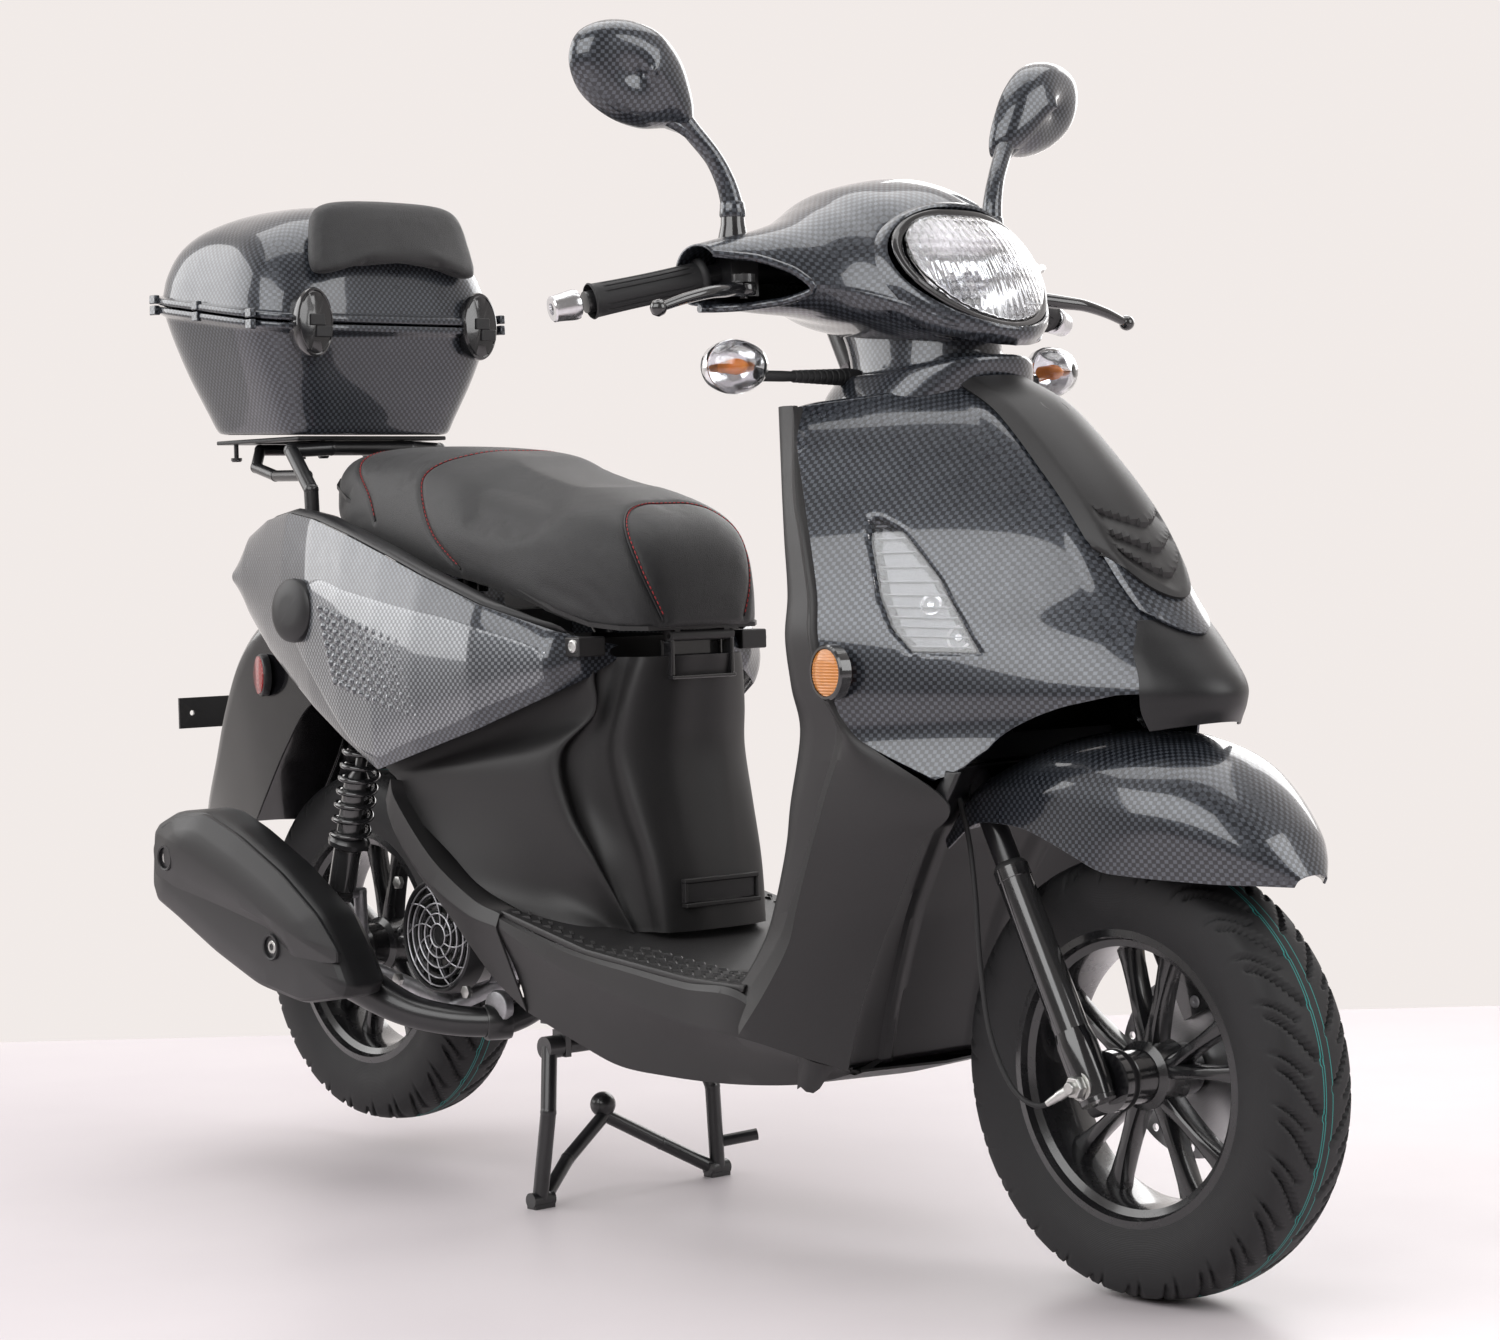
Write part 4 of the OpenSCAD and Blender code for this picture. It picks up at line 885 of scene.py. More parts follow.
# Levels of the leg shield: front edge, ridge, rear edge as (x, half width, z), then the wall's middle (x, z)
LEG = [
    [(374, 149, 879), (368, 150, 883), (358, 146, 883), (300, 884)],
    [(412, 183, 796), (404, 185, 798), (393, 180, 799), (342, 796)],
    [(438, 199, 747), (430, 201, 749), (418, 195, 750), (352, 747)],
    [(462, 213, 692), (453, 214, 694), (441, 207, 695), (360, 692)],
    [(472, 222, 649), (462, 223, 650), (450, 215, 651), (357, 649)],
    [(484, 218, 600), (472, 219, 602), (458, 210, 603), (354, 600)],
    [(506, 205, 553), (490, 210, 556), (470, 199, 557), (346, 553)],
    [(604, 180, 492), (458, 205, 490), (430, 189, 482), (328, 480)],
    [(553, 167, 450), (436, 202, 446), (406, 182, 438), (320, 438)],
    [(499, 153, 381), (405, 197, 382), (370, 176, 378), (306, 378)],
    [(468, 146, 340), (386, 194, 340), (346, 174, 340), (292, 340)],
    [(433, 142, 274), (345, 192, 288), (302, 176, 290), (276, 306)],
    [(409, 139, 210), (302, 190, 242), (288, 178, 284), (272, 300)],
]


def leg_row(front, ridge, rear, middle):
    """One side's edge points, then the wall's bulge towards the rider."""
    outer = [np.array(front) + (np.array(ridge) - front) * k + [0, 5 * math.sin(math.pi * k), 0]
             for k in np.linspace(0, 1, 10)]
    corner = [np.array(ridge) + (np.array(rear) - ridge) * k for k in (0.25, 0.75, 1.0)]
    wall = []
    for a in np.linspace(math.pi / 2, 0, 16)[1:]:
        c = math.cos(a) ** 0.62
        wall.append([rear[0] + (middle[0] - rear[0]) * c, rear[1] * math.sin(a), rear[2] + (middle[1] - rear[2]) * c])
    half = [*outer, *corner, *wall]
    return [*half, *[np.array(p) * [1, -1, 1] for p in reversed(half[:-1])]]


leg_grid = smooth([leg_row(*r) for r in LEG], 110)
sheet_piece("leg_shield_skin", leg_grid, MATTE, "frame", "matte_black", ("leg_shield",), thick=2.6, bevel=0.6,
            sharp=32)


def glove_pocket():
    outline = [(356, -124), (344, -124), (300, -78), (292, -64), (290, -40), (290, 40), (292, 64), (300, 78),
               (344, 124), (356, 124)]
    line = smooth([(x, y, 0) for x, y in outline], 90)[:, :2]
    rows = []
    for z, draw in ((640, 0.80), (634.5, 0.86), (635, 0.96), (641, 1.0), (700, 1.0), (718, 1.0), (722, 1.02),
                    (722.5, 0.99), (718, 0.975), (650, 0.97), (644, 0.95), (640, 0.80)):
        rows.append([(356 + (x - 356) * draw, y * draw, z) for x, y in line])
    sheet_piece("glove_pocket", rows, MATTE, "frame", "matte_black", sharp=35)
    plate = [[(352, -122, 640), (352, 122, 640)], [(294, -62, 640), (294, 62, 640)]]
    sheet_piece("glove_pocket_floor", patch(plate, 6, 12), DEEP, "frame", "matte_black", thick=2.0)


glove_pocket()
liner = []
for k in range(7, 13):
    x, half, z = LEG[k][0]
    deep = (66, 50, 40, 28, 16, 8)[k - 7]
    liner.append([(x - deep * math.cos(a) ** 0.7 - 2, half * math.sin(a) * 0.995, z)
                  for a in np.linspace(-math.pi / 2, math.pi / 2, 21)])
liner.insert(0, [(x + 20, y, z + 30) for x, y, z in liner[0]])
grid = patch(liner, 70, 64)
for k in (0.30, 0.62):
    column = int(k * 64)
    grid[:, column - 1:column + 2, 0] += 3.0
sheet_piece("wheel_arch_liner", grid, DEEP, "frame", "gloss_black", ("wheel_liner",), thick=2.4, flip=True, sharp=25)


# ---------- belly and foot platform ----------

# Stations of the belly: x, then height of floor edge, ridge and low edge with the low edge's half width
BELLY = [(410, 212, 210, 206, 132), (360, 228, 226, 192, 131), (300, 284, 241, 182, 131), (211, 288, 247, 175, 134),
         (120, 297, 264, 174, 137), (40, 305, 279, 178, 140), (-30, 318, 297, 198, 144), (-110, 337, 325, 224, 148)]


def belly_half(x):
    return float(np.interp(x, [-110, 120, 302, 360, 410], [190, 192, 190, 166, 139]))


belly = []
for x, floor_z, ridge_z, low_z, low_half in BELLY:
    wide = belly_half(x)
    side = [(x, wide - 5, floor_z), (x, wide - 1, floor_z - 0.15 * (floor_z - ridge_z)),
            (x, wide + 0.5, ridge_z + 2), (x, wide - 1.5, ridge_z - 3)]
    side += [(x, wide + (low_half - wide) * k - 5 * math.sin(math.pi * k), ridge_z - 3 + (low_z - ridge_z + 3) * k)
             for k in (0.2, 0.45, 0.7, 0.9, 1.0)]
    side += [(x, low_half * k, low_z - 5 * (1 - k)) for k in (0.93, 0.75, 0.4, 0.0)]
    belly.append([*side, *[(p[0], -p[1], p[2]) for p in reversed(side[:-1])]])
sheet_piece("belly_tub", smooth(belly, 90), MATTE, "frame", "matte_black", ("lower_fairing",), thick=2.6, bevel=0.5,
            sharp=28)
PLATFORM = [[(-96, 150, 336), (-106, 186, 337), (-106, 190.5, 325), (-108, 188, 320), (-110, 148, 226)],
            [(-150, 150, 347), (-158, 186, 351), (-162, 190.5, 337), (-164, 188, 331), (-168, 151, 262)],
            [(-225, 152, 388), (-232, 187, 393), (-238, 189, 372), (-240, 186, 364), (-236, 154, 322)],
            [(-290, 156, 446), (-298, 186, 454), (-306, 185, 428), (-306, 182, 420), (-296, 160, 392)],
            [(-304, 160, 476), (-312, 184, 482), (-324, 181, 458), (-324, 178, 450), (-312, 166, 434)]]
grid = patch(PLATFORM, 50, 5)
piece("rear_footrests", grid, grid_faces(50, 5), MATTE, "frame", "matte_black", both=True, thick=2.6, outward=-1,
      bevel=0.5, sharp=28)


def floor_height(x, y):
    """Top of the floor: it climbs towards the leg shield, and is crowned across."""
    edge = float(np.interp(x, [-110, 40, 211, 300], [337, 305, 288, 285]))
    rise = 26 * max(0.0, (x - 215) / 85) ** 2
    return edge + (rise + 10 * max(0.0, (60 - x) / 300)) * (1 - (abs(y) / 186) ** 2) + 5


floor = []
for x in np.linspace(-110, 300, 60):
    half = belly_half(x) - 8
    row = [(x, y, floor_height(x, y)) for y in np.linspace(-half, half, 61)]
    row = [(x, -half - 3, row[0][2] - 6), *row, (x, half + 3, row[-1][2] - 6)]
    floor.append(row)
sheet_piece("floor_mat", floor, MATTE, "frame", "matte_black", ("floorboard",), thick=3.0, flip=True, sharp=40)


def tread_dashes():
    """Short raised dashes in offset rows along both edges of the floor, one row up the rear platforms."""
    parts = []
    for row, y in enumerate((172, 160, 148, 136, 124)):
        for k in range(21):
            x = -96 + 18.5 * k + (9 if row % 2 else 0)
            if x > 284 or (x < 60 and y < 150):
                continue
            z = floor_height(x, y)
            dash = block((x - 6.2, y - 1.7, z - 1), (x + 6.2, y + 1.7, z + 1.9), 0.7)
            parts.append(turned(dash, np.array([x, y, z]), 24 if row % 2 else -24, "Z"))
    for k in range(8):
        share = (k + 0.6) / 8.4
        a, b = smooth([r[0] for r in PLATFORM], 50), smooth([r[1] for r in PLATFORM], 50)
        i = int(share * 49)
        for across in (0.3, 0.75):
            p = a[i] + (b[i] - a[i]) * across
            slope = math.degrees(math.atan2(a[min(i + 1, 49)][2] - a[max(i - 1, 0)][2],
                                            abs(a[min(i + 1, 49)][0] - a[max(i - 1, 0)][0])))
            parts.append(turned(block(p - [6, 1.7, 1], p + [6, 1.7, 2.2], 0.7), p, slope, "Y"))
    piece("floor_tread", *join_parts(parts), MATTE, "frame", "matte_black", both=True, sharp=30)


tread_dashes()


# ---------- cover under the seat ----------

# Levels of the cover: height, middle x, then the bulge's corner, valley and wing corner as (x, half width), rear half
SEAT_BOX = [(622, 34, (18, 70), (-22, 84), (-26, 110), 177), (600, 30, (14, 76), (-26, 88), (-26, 110), 177),
            (560, 24, (6, 84), (-32, 94), (-26, 110), 176), (515, 20, (0, 88), (-48, 105), (-58, 136), 174),
            (455, 32, (16, 84), (-42, 102), (-46, 134), 171), (400, 46, (34, 78), (-18, 98), (-18, 122), 169),
            (360, 54, (42, 75), (-4, 92), (-2, 108), 167), (318, 58, (47, 72), (16, 84), (14, 94), 162)]


def box_level(z, middle, corner, valley, wing, rear_half):
    rear_z = float(np.interp(z, [318, 360, 455, 515, 622], [332, 364, 450, 480, 500]))
    rear_x = float(np.interp(z, [318, 360, 455, 622], [-70, -165, -300, -338]))
    half = [(middle, 0), (middle - 1, corner[1] * 0.5), corner, ((corner[0] + valley[0]) / 2 - 3, corner[1] + 6), valley,
            ((valley[0] + wing[0]) / 2 - 8, (valley[1] + wing[1]) / 2), wing, (wing[0] - 26, wing[1] + 10),
            ((wing[0] + rear_x) / 2, (wing[1] + rear_half) / 2 + 7), (rear_x, rear_half)]
    line = []
    for k, (x, y) in enumerate(half):
        drop = max(0.0, (wing[0] - x) / (wing[0] - rear_x)) if k >= 7 else 0.0
        line.append((x, y, z + (rear_z - z) * drop))
    return [*[(x, -y, h) for x, y, h in reversed(line[1:])], *line]


grid = patch([box_level(*r) for r in SEAT_BOX], 80, 190)
sheet_piece("seat_box_skin", grid, MATTE, "frame", "matte_black", ("seat_box_cover",), thick=2.6, bevel=0.5,
            sharp=40, flip=True)
recess = [block((20, -46, 596), (37.5, 46, 600)), block((20, -46, 600), (34.5, -41, 640)),
          block((20, 41, 600), (34.5, 46, 640)), block((12, -44, 598), (16, 44, 640))]
piece("seat_hinge_recess", *join_parts(recess), GLOSS, "frame", "matte_black", bevel=1.2)
tabs = [block((-40, -138, 624), (-14, -100, 646))]
piece("seat_side_tabs", *join_parts(tabs), MATTE, "frame", "matte_black", both=True, bevel=2.0)
screw = lathe([(0, 0.1), (0, 7.5), (2, 7), (3, 5), (1.6, 4), (1.6, 0.1)], [-24, -138, 636], [0, -1, 0], 32)
piece("seat_tab_screws", *screw, ZINC, "frame", "bright_steel", both=True, sharp=30)
slot_frame = [block((50, -54, 371), (58.5, 54, 376)), block((50, -54, 344), (61, 54, 349)),
              block((50, -54, 349), (58, -50, 371)), block((50, 50, 349), (58, 54, 371))]
piece("battery_door_frame", *join_parts(slot_frame), MATTE, "frame", "matte_black", bevel=1.0)
piece("battery_door", *block((46, -50, 349), (55.2, 50, 371)), DEEP, "frame", "matte_black", bevel=0.8)

# ---------- side panels ----------

# Outline as (x, z low, z high, y of the low edge, y of the high edge)
PANEL = [(-20, 622, 634, 78, 78), (-30, 602, 642, 112, 110), (-52, 584, 652, 148, 142), (-141, 545, 682, 184, 176),
         (-240, 515, 716, 196, 184), (-318, 494, 742, 196, 182), (-400, 528, 766, 186, 176), (-480, 562, 785, 172, 166),
         (-550, 594, 794, 156, 154), (-620, 628, 786, 140, 138), (-680, 668, 766, 126, 126), (-716, 704, 730, 116, 118)]


def panel_point(x, v, lift=0.0):
    """Point on the right side panel: v runs from its low edge to its high edge."""
    xs = [-r[0] for r in PANEL]
    low, high, y_low, y_high = (float(np.interp(-x, xs, [r[k] for r in PANEL])) for k in range(1, 5))
    belly = 13 * math.sin(math.pi * min(1, max(0, v))) ** 0.75
    return (x, -(y_low + (y_high - y_low) * v + belly + lift), low + (high - low) * v)


def panel_skin():
    rows = [[panel_point(x, v) for v in np.linspace(0, 1, 40)] for x in
            [r[0] for r in smooth([(p[0], 0) for p in PANEL], 140)]]
    sheet_piece("side_panel_skins", rows, CARBON, "frame", "carbon_gloss", ("side_panel_right", "side_panel_left"),
                both=True, thick=2.4, bevel=0.7, sharp=40, flip=True)


FACET = [(-514, 636, 641), (-470, 597, 714), (-379, 521, 704), (-317, 504, 694), (-266, 519, 685), (-178, 545, 671),
         (-108, 572, 654), (-62, 590, 638), (-48, 604, 622)]


def facet_skin():
    rows = []
    for x, low, high in smooth(FACET, 110):
        base = np.array([panel_point(x, v)[1:] for v in np.linspace(0, 1, 60)])
        row = []
        for k in np.linspace(0, 1, 34):
            z = low + (high - low) * k
            y = np.interp(z, base[:, 1], base[:, 0])
            edge = min(k, 1 - k) * (high - low)
            ends = min(abs(x + 514), abs(x + 48))
            row.append((x, y - 3.6 * min(1, (min(edge, ends * 0.7) / 4.5)) ** 0.6 + 0.4, z))
        rows.append(row)
    sheet_piece("side_panel_facets", rows, SILVERED, "frame", "carbon_gloss", both=True, thick=1.6, sharp=50,
                flip=True)
    line = []
    for x, low, high in smooth(FACET, 60):
        base = np.array([panel_point(x, v)[1:] for v in np.linspace(0, 1, 60)])
        line.append((x, np.interp(high, base[:, 1], base[:, 0]) - 0.8, high + 0.6))
    piece("facet_edge_lines", *tube(line, 1.0, n=8, samples=120), BRIGHT, "frame", "carbon_gloss", both=True)
    dots = []
    for i in range(13):
        for j in range(9):
            x = -438 + 15.5 * i + 4.5 * j
            z = 680 - 10.6 * j - 3.4 * i
            fade = 1 - (i / 13) ** 1.6
            low, high = (float(np.interp(x, [f[0] for f in FACET], [f[k] for f in FACET])) for k in (1, 2))
            if not low + 16 < z < high - 14 or fade < 0.15:
                continue
            base = np.array([panel_point(x, v)[1:] for v in np.linspace(0, 1, 60)])
            y = float(np.interp(z, base[:, 1], base[:, 0])) - 3.0
            r = 2.2 + 3.4 * fade
            dots.append(lathe([(0, r), (1.7 * fade + 0.4, r * 0.8), (2.8 * fade + 0.5, r * 0.4),
                               (3.2 * fade + 0.5, 0.05)], (x, y, z), (0, -1, 0), 12, closed=False))
    piece("facet_dimples", *join_parts(dots), SILVERED, "frame", "carbon_gloss", both=True, sharp=60)


SILVERED = carbon("silvered_weave", light=(0.26, 0.275, 0.295), dark=(0.055, 0.06, 0.068))
panel_skin()
facet_skin()
disc = lathe([(-26, 0.1), (-26, 36), (4, 38.5), (9, 37.5), (11, 35), (11.5, 33), (12.6, 31), (13.4, 16), (13.6, 0.1)],
             (-500, -182, 677), (0.05, -1, 0.04), 96)
piece("side_panel_discs", *disc, DEEP, "frame", "matte_black", both=True, sharp=30)
trim = []
for inner, rise in ((0.0, 0.0), (0.25, 5.0), (0.6, 3.0), (1.0, -6.0)):
    row = []
    for x in np.linspace(-40, -640, 60):
        edge = float(np.interp(-x, [40, 260, 400, 524, 640], [134, 141, 131, 108, 96]))
        _, y, z = panel_point(x, 1.0)
        row.append((x, -((1 - inner) * (-y - 3) + inner * edge), z - 1 + rise))
    trim.append(row)
sheet_piece("under_seat_trims", trim, DEEP, "frame", "matte_black", both=True, thick=2.0, sharp=40)

# ---------- rear fender, tail lamp and rear reflectors --------

MUD = [(-560, 652, 92, 70), (-640, 672, 98, 110), (-700, 662, 102, 150), (-752, 618, 104, 168), (-790, 558, 102, 160),
       (-822, 490, 98, 140), (-850, 440, 92, 110), (-872, 396, 84, 70)]


def mudguard():
    rows = []
    for x, z, half, drop in smooth(MUD, 70):
        row = []
        for t in np.linspace(-1, 1, 61):
            u = abs(t)
            side = math.copysign(half * min(1, (u / 0.62)) ** 0.9, t) if u < 0.62 else math.copysign(half, t)
            down = 5 * (u / 0.62) ** 2 if u < 0.62 else 5 + (drop * (u - 0.62) / 0.38)
            row.append((x + max(0, down - 5) * 0.34, side * (1 + 0.02 * max(0, u - 0.62)), z - down))
        rows.append(row)
    sheet_piece("rear_mudguard", rows, GLOSS, "frame", "matte_black", ("rear_fender",), thick=2.4, bevel=0.8, sharp=60)


mudguard()


def tail_cluster():
    rows = []
    for z, x, half in [(702, -728, 64), (708, -742, 78), (720, -752, 88), (736, -752, 94), (752, -742, 94),
                       (762, -728, 84), (766, -714, 70)]:
        half_line = [(x + 34 * (u**2.4), -half * u, z - 3 * u) for u in np.linspace(1, 0, 12)]
        rows.append(half_line + [(a, -b, c) for a, b, c in half_line[-2::-1]])
    grid = patch(rows, 30, 90)
    middle = grid[:, 26:64]
    sheet_piece("tail_lamp_red", middle, RED, "frame", "red_lens", ("tail_lamp",), thick=2.0, sharp=50)
    for name, part in (("tail_lamp_clear_right", grid[:, :27]), ("tail_lamp_clear_left", grid[:, 63:])):
        sheet_piece(name, part, CLEAR, "frame", "clear_lens", thick=2.0, sharp=50)
    inner = (grid - [0, 0, 734]) * [1, 0.94, 0.88] + [16, 0, 734]
    inner = inner + np.sin(np.arange(grid.shape[1]) * 0.9)[None, :, None] * [1.2, 0, 0]
    sheet_piece("tail_lamp_reflector", inner, CHROME, "frame", "red_lens", thick=1.0, sharp=60)
    bulbs = [lathe([(0, 0.1), (0, 8), (6, 9), (14, 7), (18, 0.1)], (-738, y, 734), (-1, 0, 0), 28) for y in (-60, 60)]
    piece("tail_lamp_bulbs", *join_parts(bulbs), AMBER, "frame", "amber_lens")
    rims = [tube(patch(rows, 30, 90)[k], 2.4, n=10, samples=100) for k in (0, -1)]
    piece("tail_lamp_rims", *join_parts(rims), GLOSS, "frame", "red_lens")
    dish = [lathe([(-4, 0.1), (-4, 26), (2, 27), (5, 26), (6, 24), (6, 0.1)], (-690, s * 107, 594),
                  (-0.34, s * 0.94, 0), 64) for s in (-1, 1)]
    piece("rear_reflector_housings", *join_parts(dish), DEEP, "frame", "red_lens", sharp=30)
    lens = [lathe([(5.5, 0.1), (5.5, 24), (7.4, 23.4), (8.4, 20), (8.8, 0.1)], (-690, s * 107, 594),
                  (-0.34, s * 0.94, 0), 64) for s in (-1, 1)]
    piece("rear_reflectors", *join_parts(lens), RED, "frame", "red_lens", sharp=40)


tail_cluster()

# ---------- top case ----------

# Levels: z at the front, front x, rear x, half width, corner exponent, tilt
CASE_LOW = [(890, -575, -780, 120, 4.6, 0.035), (893, -570, -785, 126, 5.0, 0.04), (912, -565, -794, 136, 5.0, 0.06),
            (950, -554, -810, 155, 5.0, 0.09), (985, -545, -823, 171, 4.8, 0.12), (1010, -538, -831, 181, 4.6, 0.14)]
CASE_LIP = [(1010, -538, -831, 181, 4.6, 0.14), (1013, -532, -837, 187, 4.6, 0.14), (1015, -529, -840, 190, 4.6, 0.14),
            (1021, -529, -840, 190, 4.6, 0.14), (1022.5, -532, -837, 187, 4.6, 0.14), (1023, -537, -832, 182, 4.6, 0.14)]
LID_LIP = [(1024, -537, -832, 182, 4.6, 0.14), (1024.5, -531, -838, 188, 4.6, 0.14), (1026, -528, -841, 191, 4.6, 0.14),
           (1032, -528, -841, 191, 4.6, 0.14), (1034, -531, -838, 188, 4.6, 0.14), (1036, -536, -833, 183, 4.6, 0.14)]
CASE_TOP = [(1036, -536, -833, 183, 4.6, 0.14), (1062, -539, -829, 179, 4.3, 0.14), (1096, -546, -818, 168, 3.9, 0.125),
            (1126, -556, -799, 150, 3.4, 0.10), (1149, -571, -774, 124, 3.0, 0.07), (1164, -590, -748, 96, 2.7, 0.045),
            (1173, -612, -725, 66, 2.4, 0.02), (1177, -640, -698, 32, 2.1, 0.0), (1178, -664, -672, 4, 2, 0.0)]


def case_ring(z, front, rear, half, e, tilt, n=180):
    a = np.linspace(0, 2 * math.pi, n, endpoint=False)
    c, s = np.cos(a), np.sin(a)
    x = (front + rear) / 2 + (front - rear) / 2 * np.sign(c) * np.abs(c) ** (2 / e)
    y = half * np.sign(s) * np.abs(s) ** (2 / e)
    return np.stack([x, y, z + tilt * (front - x)], axis=1)


def case_rings(levels, steps, n=180):
    dense = smooth([list(r) for r in levels], steps)
    return np.array([case_ring(*row, n=n) for row in dense])


low = np.concatenate([case_rings(CASE_LOW, 40)[:-1], case_rings(CASE_LIP, 24)])
foot = tuple(range(180))[::-1]
piece("case_shell", low, grid_faces(*low.shape[:2], ring=True) + [foot], CARBON, "frame", "carbon_gloss",
      ("case_base",), thick=3.0, sharp=50)
top = np.concatenate([case_rings(LID_LIP, 24)[:-1], case_rings(CASE_TOP, 60)])
sheet_piece("case_lid_shell", top, CARBON, "lid", "carbon_gloss", ("case_lid",), ring=True, thick=3.0, sharp=50)
lugs_low, lugs_top = [], []
for x, y in ((-572, 188), (-690, 189), (-790, 187), (-572, -188), (-690, -189), (-790, -187)):
    rise = 0.14 * (-529 - x)
    lugs_low.append(block((x - 7, y - 4, 1011 + rise), (x + 7, y + 4, 1023 + rise), 0.95))
    lugs_top.append(block((x - 7, y - 4, 1025 + rise), (x + 7, y + 4, 1036 + rise), 0.95))
piece("case_lip_lugs_low", *join_parts(lugs_low), CARBON, "frame", "carbon_gloss", bevel=1.4)
piece("case_lip_lugs_top", *join_parts(lugs_top), CARBON, "lid", "carbon_gloss", bevel=1.4)
hinges, clasps = [], []
for s in (-1, 1):
    v, f = lathe([(-22, 0.1), (-22, 38), (-8, 42), (1, 42.5), (3.4, 41.5), (4.4, 39), (3.6, 37.6), (4.6, 36),
                  (6.2, 20), (6.8, 0.1)], (-531, 0, 1024), (1, 0, 0), 96)
    hinges.append((np.array(v) * [1, 0.62, 1] + [0, s * 124, 0], f))
    clasps.append(block((-528, s * 124 - 2, 1006), (-521.5, s * 124 + 20, 1020), 0.95))
    clasps.append(block((-528, s * 124 - 10, 1020), (-521.5, s * 124 + 11, 1034), 0.95))
piece("case_hinge_discs", *join_parts(hinges), GLOSS, "frame", "carbon_gloss", sharp=28)
piece("case_hinge_notches", *join_parts(clasps), DEEP, "frame", "carbon_gloss", bevel=1.2)
latch = [block((-860, -24, 1068), (-834, 24, 1104), 0.86), block((-856, -15, 1054), (-838, 15, 1068), 0.9)]
piece("case_latch_handle", *join_parts(latch), GLOSS, "latch", "carbon_gloss", ("case_latch",), bevel=3)
rack_bolts = []
for x, y in ((-748, -100), (-748, 100), (-613, -60), (-613, 60)):
    rack_bolts.append(lathe([(-26, 0.1), (-26, 5.5), (-24, 7), (-21, 7), (-21, 3), (0, 3), (0, 0.1)], (x, y, 888),
                            (0, 0, 1), 20))
plate = block((-775, -112, 884), (-590, 112, 889), 1.0)
piece("case_mount_bolts", *join_parts(rack_bolts), STEEL, "frame", "black_steel", sharp=30)
piece("case_mount_plate", *plate, DEEP, "frame", "black_steel", bevel=1.5)

# ---------- muffler ----------

SHIELD_LINE = [(-735, 417), (-695, 432), (-623, 438), (-561, 417), (-470, 376), (-389, 326), (-351, 278), (-331, 244),
               (-340, 230), (-429, 216), (-521, 229), (-614, 262), (-700, 300), (-745, 318), (-755, 338), (-748, 405)]
RAISED_LINE = [(-728, 404), (-690, 424), (-618, 433), (-545, 409), (-455, 368), (-385, 324), (-343, 284), (-344, 271),
               (-430, 267), (-485, 301), (-590, 318), (-691, 335), (-735, 352), (-738, 384)]


def round_line(points, n):
    loop = [points[-1], *points, points[0], points[1]]
    dense = []
    for k in range(1, len(loop) - 2):
        a, b = np.array(loop[k], float), np.array(loop[k + 1], float)
        for t in np.linspace(0, 1, n // len(points) + 1, endpoint=False):
            dense.append(a + (b - a) * t)
    dense = np.array(dense)
    for _ in range(3):
        dense = (np.roll(dense, 1, axis=0) + 2 * dense + np.roll(dense, -1, axis=0)) / 4
    return dense


def roofed(line, spine, rings):
    """Rings drawn in towards a spine: each is (share, y)."""
    a, b = (np.array(p, float) for p in spine)
    d = b - a
    t = np.clip(((line - a) @ d) / (d @ d), 0, 1)[:, None]
    foot_points = a + t * d
    rows = []
    for share, y in rings:
        ring = foot_points + (line - foot_points) * share
        rows.append(np.stack([ring[:, 0], np.full(len(ring), y), ring[:, 1]], axis=1))
    return np.array(rows)


def roof_mesh(line, spine, rings):
    grid = roofed(line, spine, rings)
    m, n = grid.shape[:2]
    faces = grid_faces(m, n, ring=True) + [tuple(range(n))[::-1], tuple((m - 1) * n + j for j in range(n))]
    return grid, faces


SHIELD_BLACK = plastic("shield_black", (0.010, 0.010, 0.011), 0.40)
shield_mesh = roof_mesh(round_line(SHIELD_LINE, 160), ((-680, 366), (-420, 268)),
                         [(0.35, -176), (0.82, -178), (0.95, -188), (1.0, -204), (1.0, -226), (0.985, -233),
                          (0.95, -238), (0.86, -242), (0.5, -246), (0.08, -247)])
piece("muffler_shield", *shield_mesh, SHIELD_BLACK, "power_unit", "black_steel", ("muffler",), sharp=24)
raised = roof_mesh(round_line(RAISED_LINE, 160), ((-660, 392), (-440, 306)),
                    [(0.9, -238), (1.0, -239.5), (1.0, -243.5), (0.985, -245.5), (0.6, -250.5), (0.5, -252),
                     (0.08, -254.5)])
piece("muffler_shield_raised", *raised, SHIELD_BLACK, "power_unit", "black_steel", sharp=14)
wells, heads = [], []
for x, z, y in ((-701, 375, -248), (-476, 281, -245)):
    wells.append(lathe([(-6, 15), (3, 16), (5, 15), (4.4, 13), (-4, 12), (-4, 0.1)], (x, y, z), (0, -1, 0), 48))
    heads.append(lathe([(-4, 0.1), (-4, 8.4), (1.6, 8.2), (2.6, 7), (2.6, 4.4), (0, 4), (0, 0.1)], (x, y, z),
                       (0, -1, 0), 32))
piece("muffler_bolt_wells", *join_parts(wells), DEEP, "power_unit", "black_steel", sharp=35)
piece("muffler_bolts", *join_parts(heads), ZINC, "power_unit", "black_steel", sharp=30)
pipe = tube([(-230, -6, 242), (-224, -44, 214), (-246, -96, 196), (-330, -148, 206), (-410, -182, 246),
             (-470, -200, 286)], [16, 16, 17, 19, 26, 40], n=32, samples=90)
piece("exhaust_pipe", *pipe, STEEL, "power_unit", "black_steel", sharp=60)
sleeve = lathe([(-16, 17), (-16, 20), (-13, 21), (12, 21), (14, 20), (14, 17)], (-243, -93, 196), (-0.4, -0.9, 0), 48)
piece("exhaust_sleeve", *sleeve, STEEL, "power_unit", "black_steel", sharp=30)

# ---------- shocks ----------

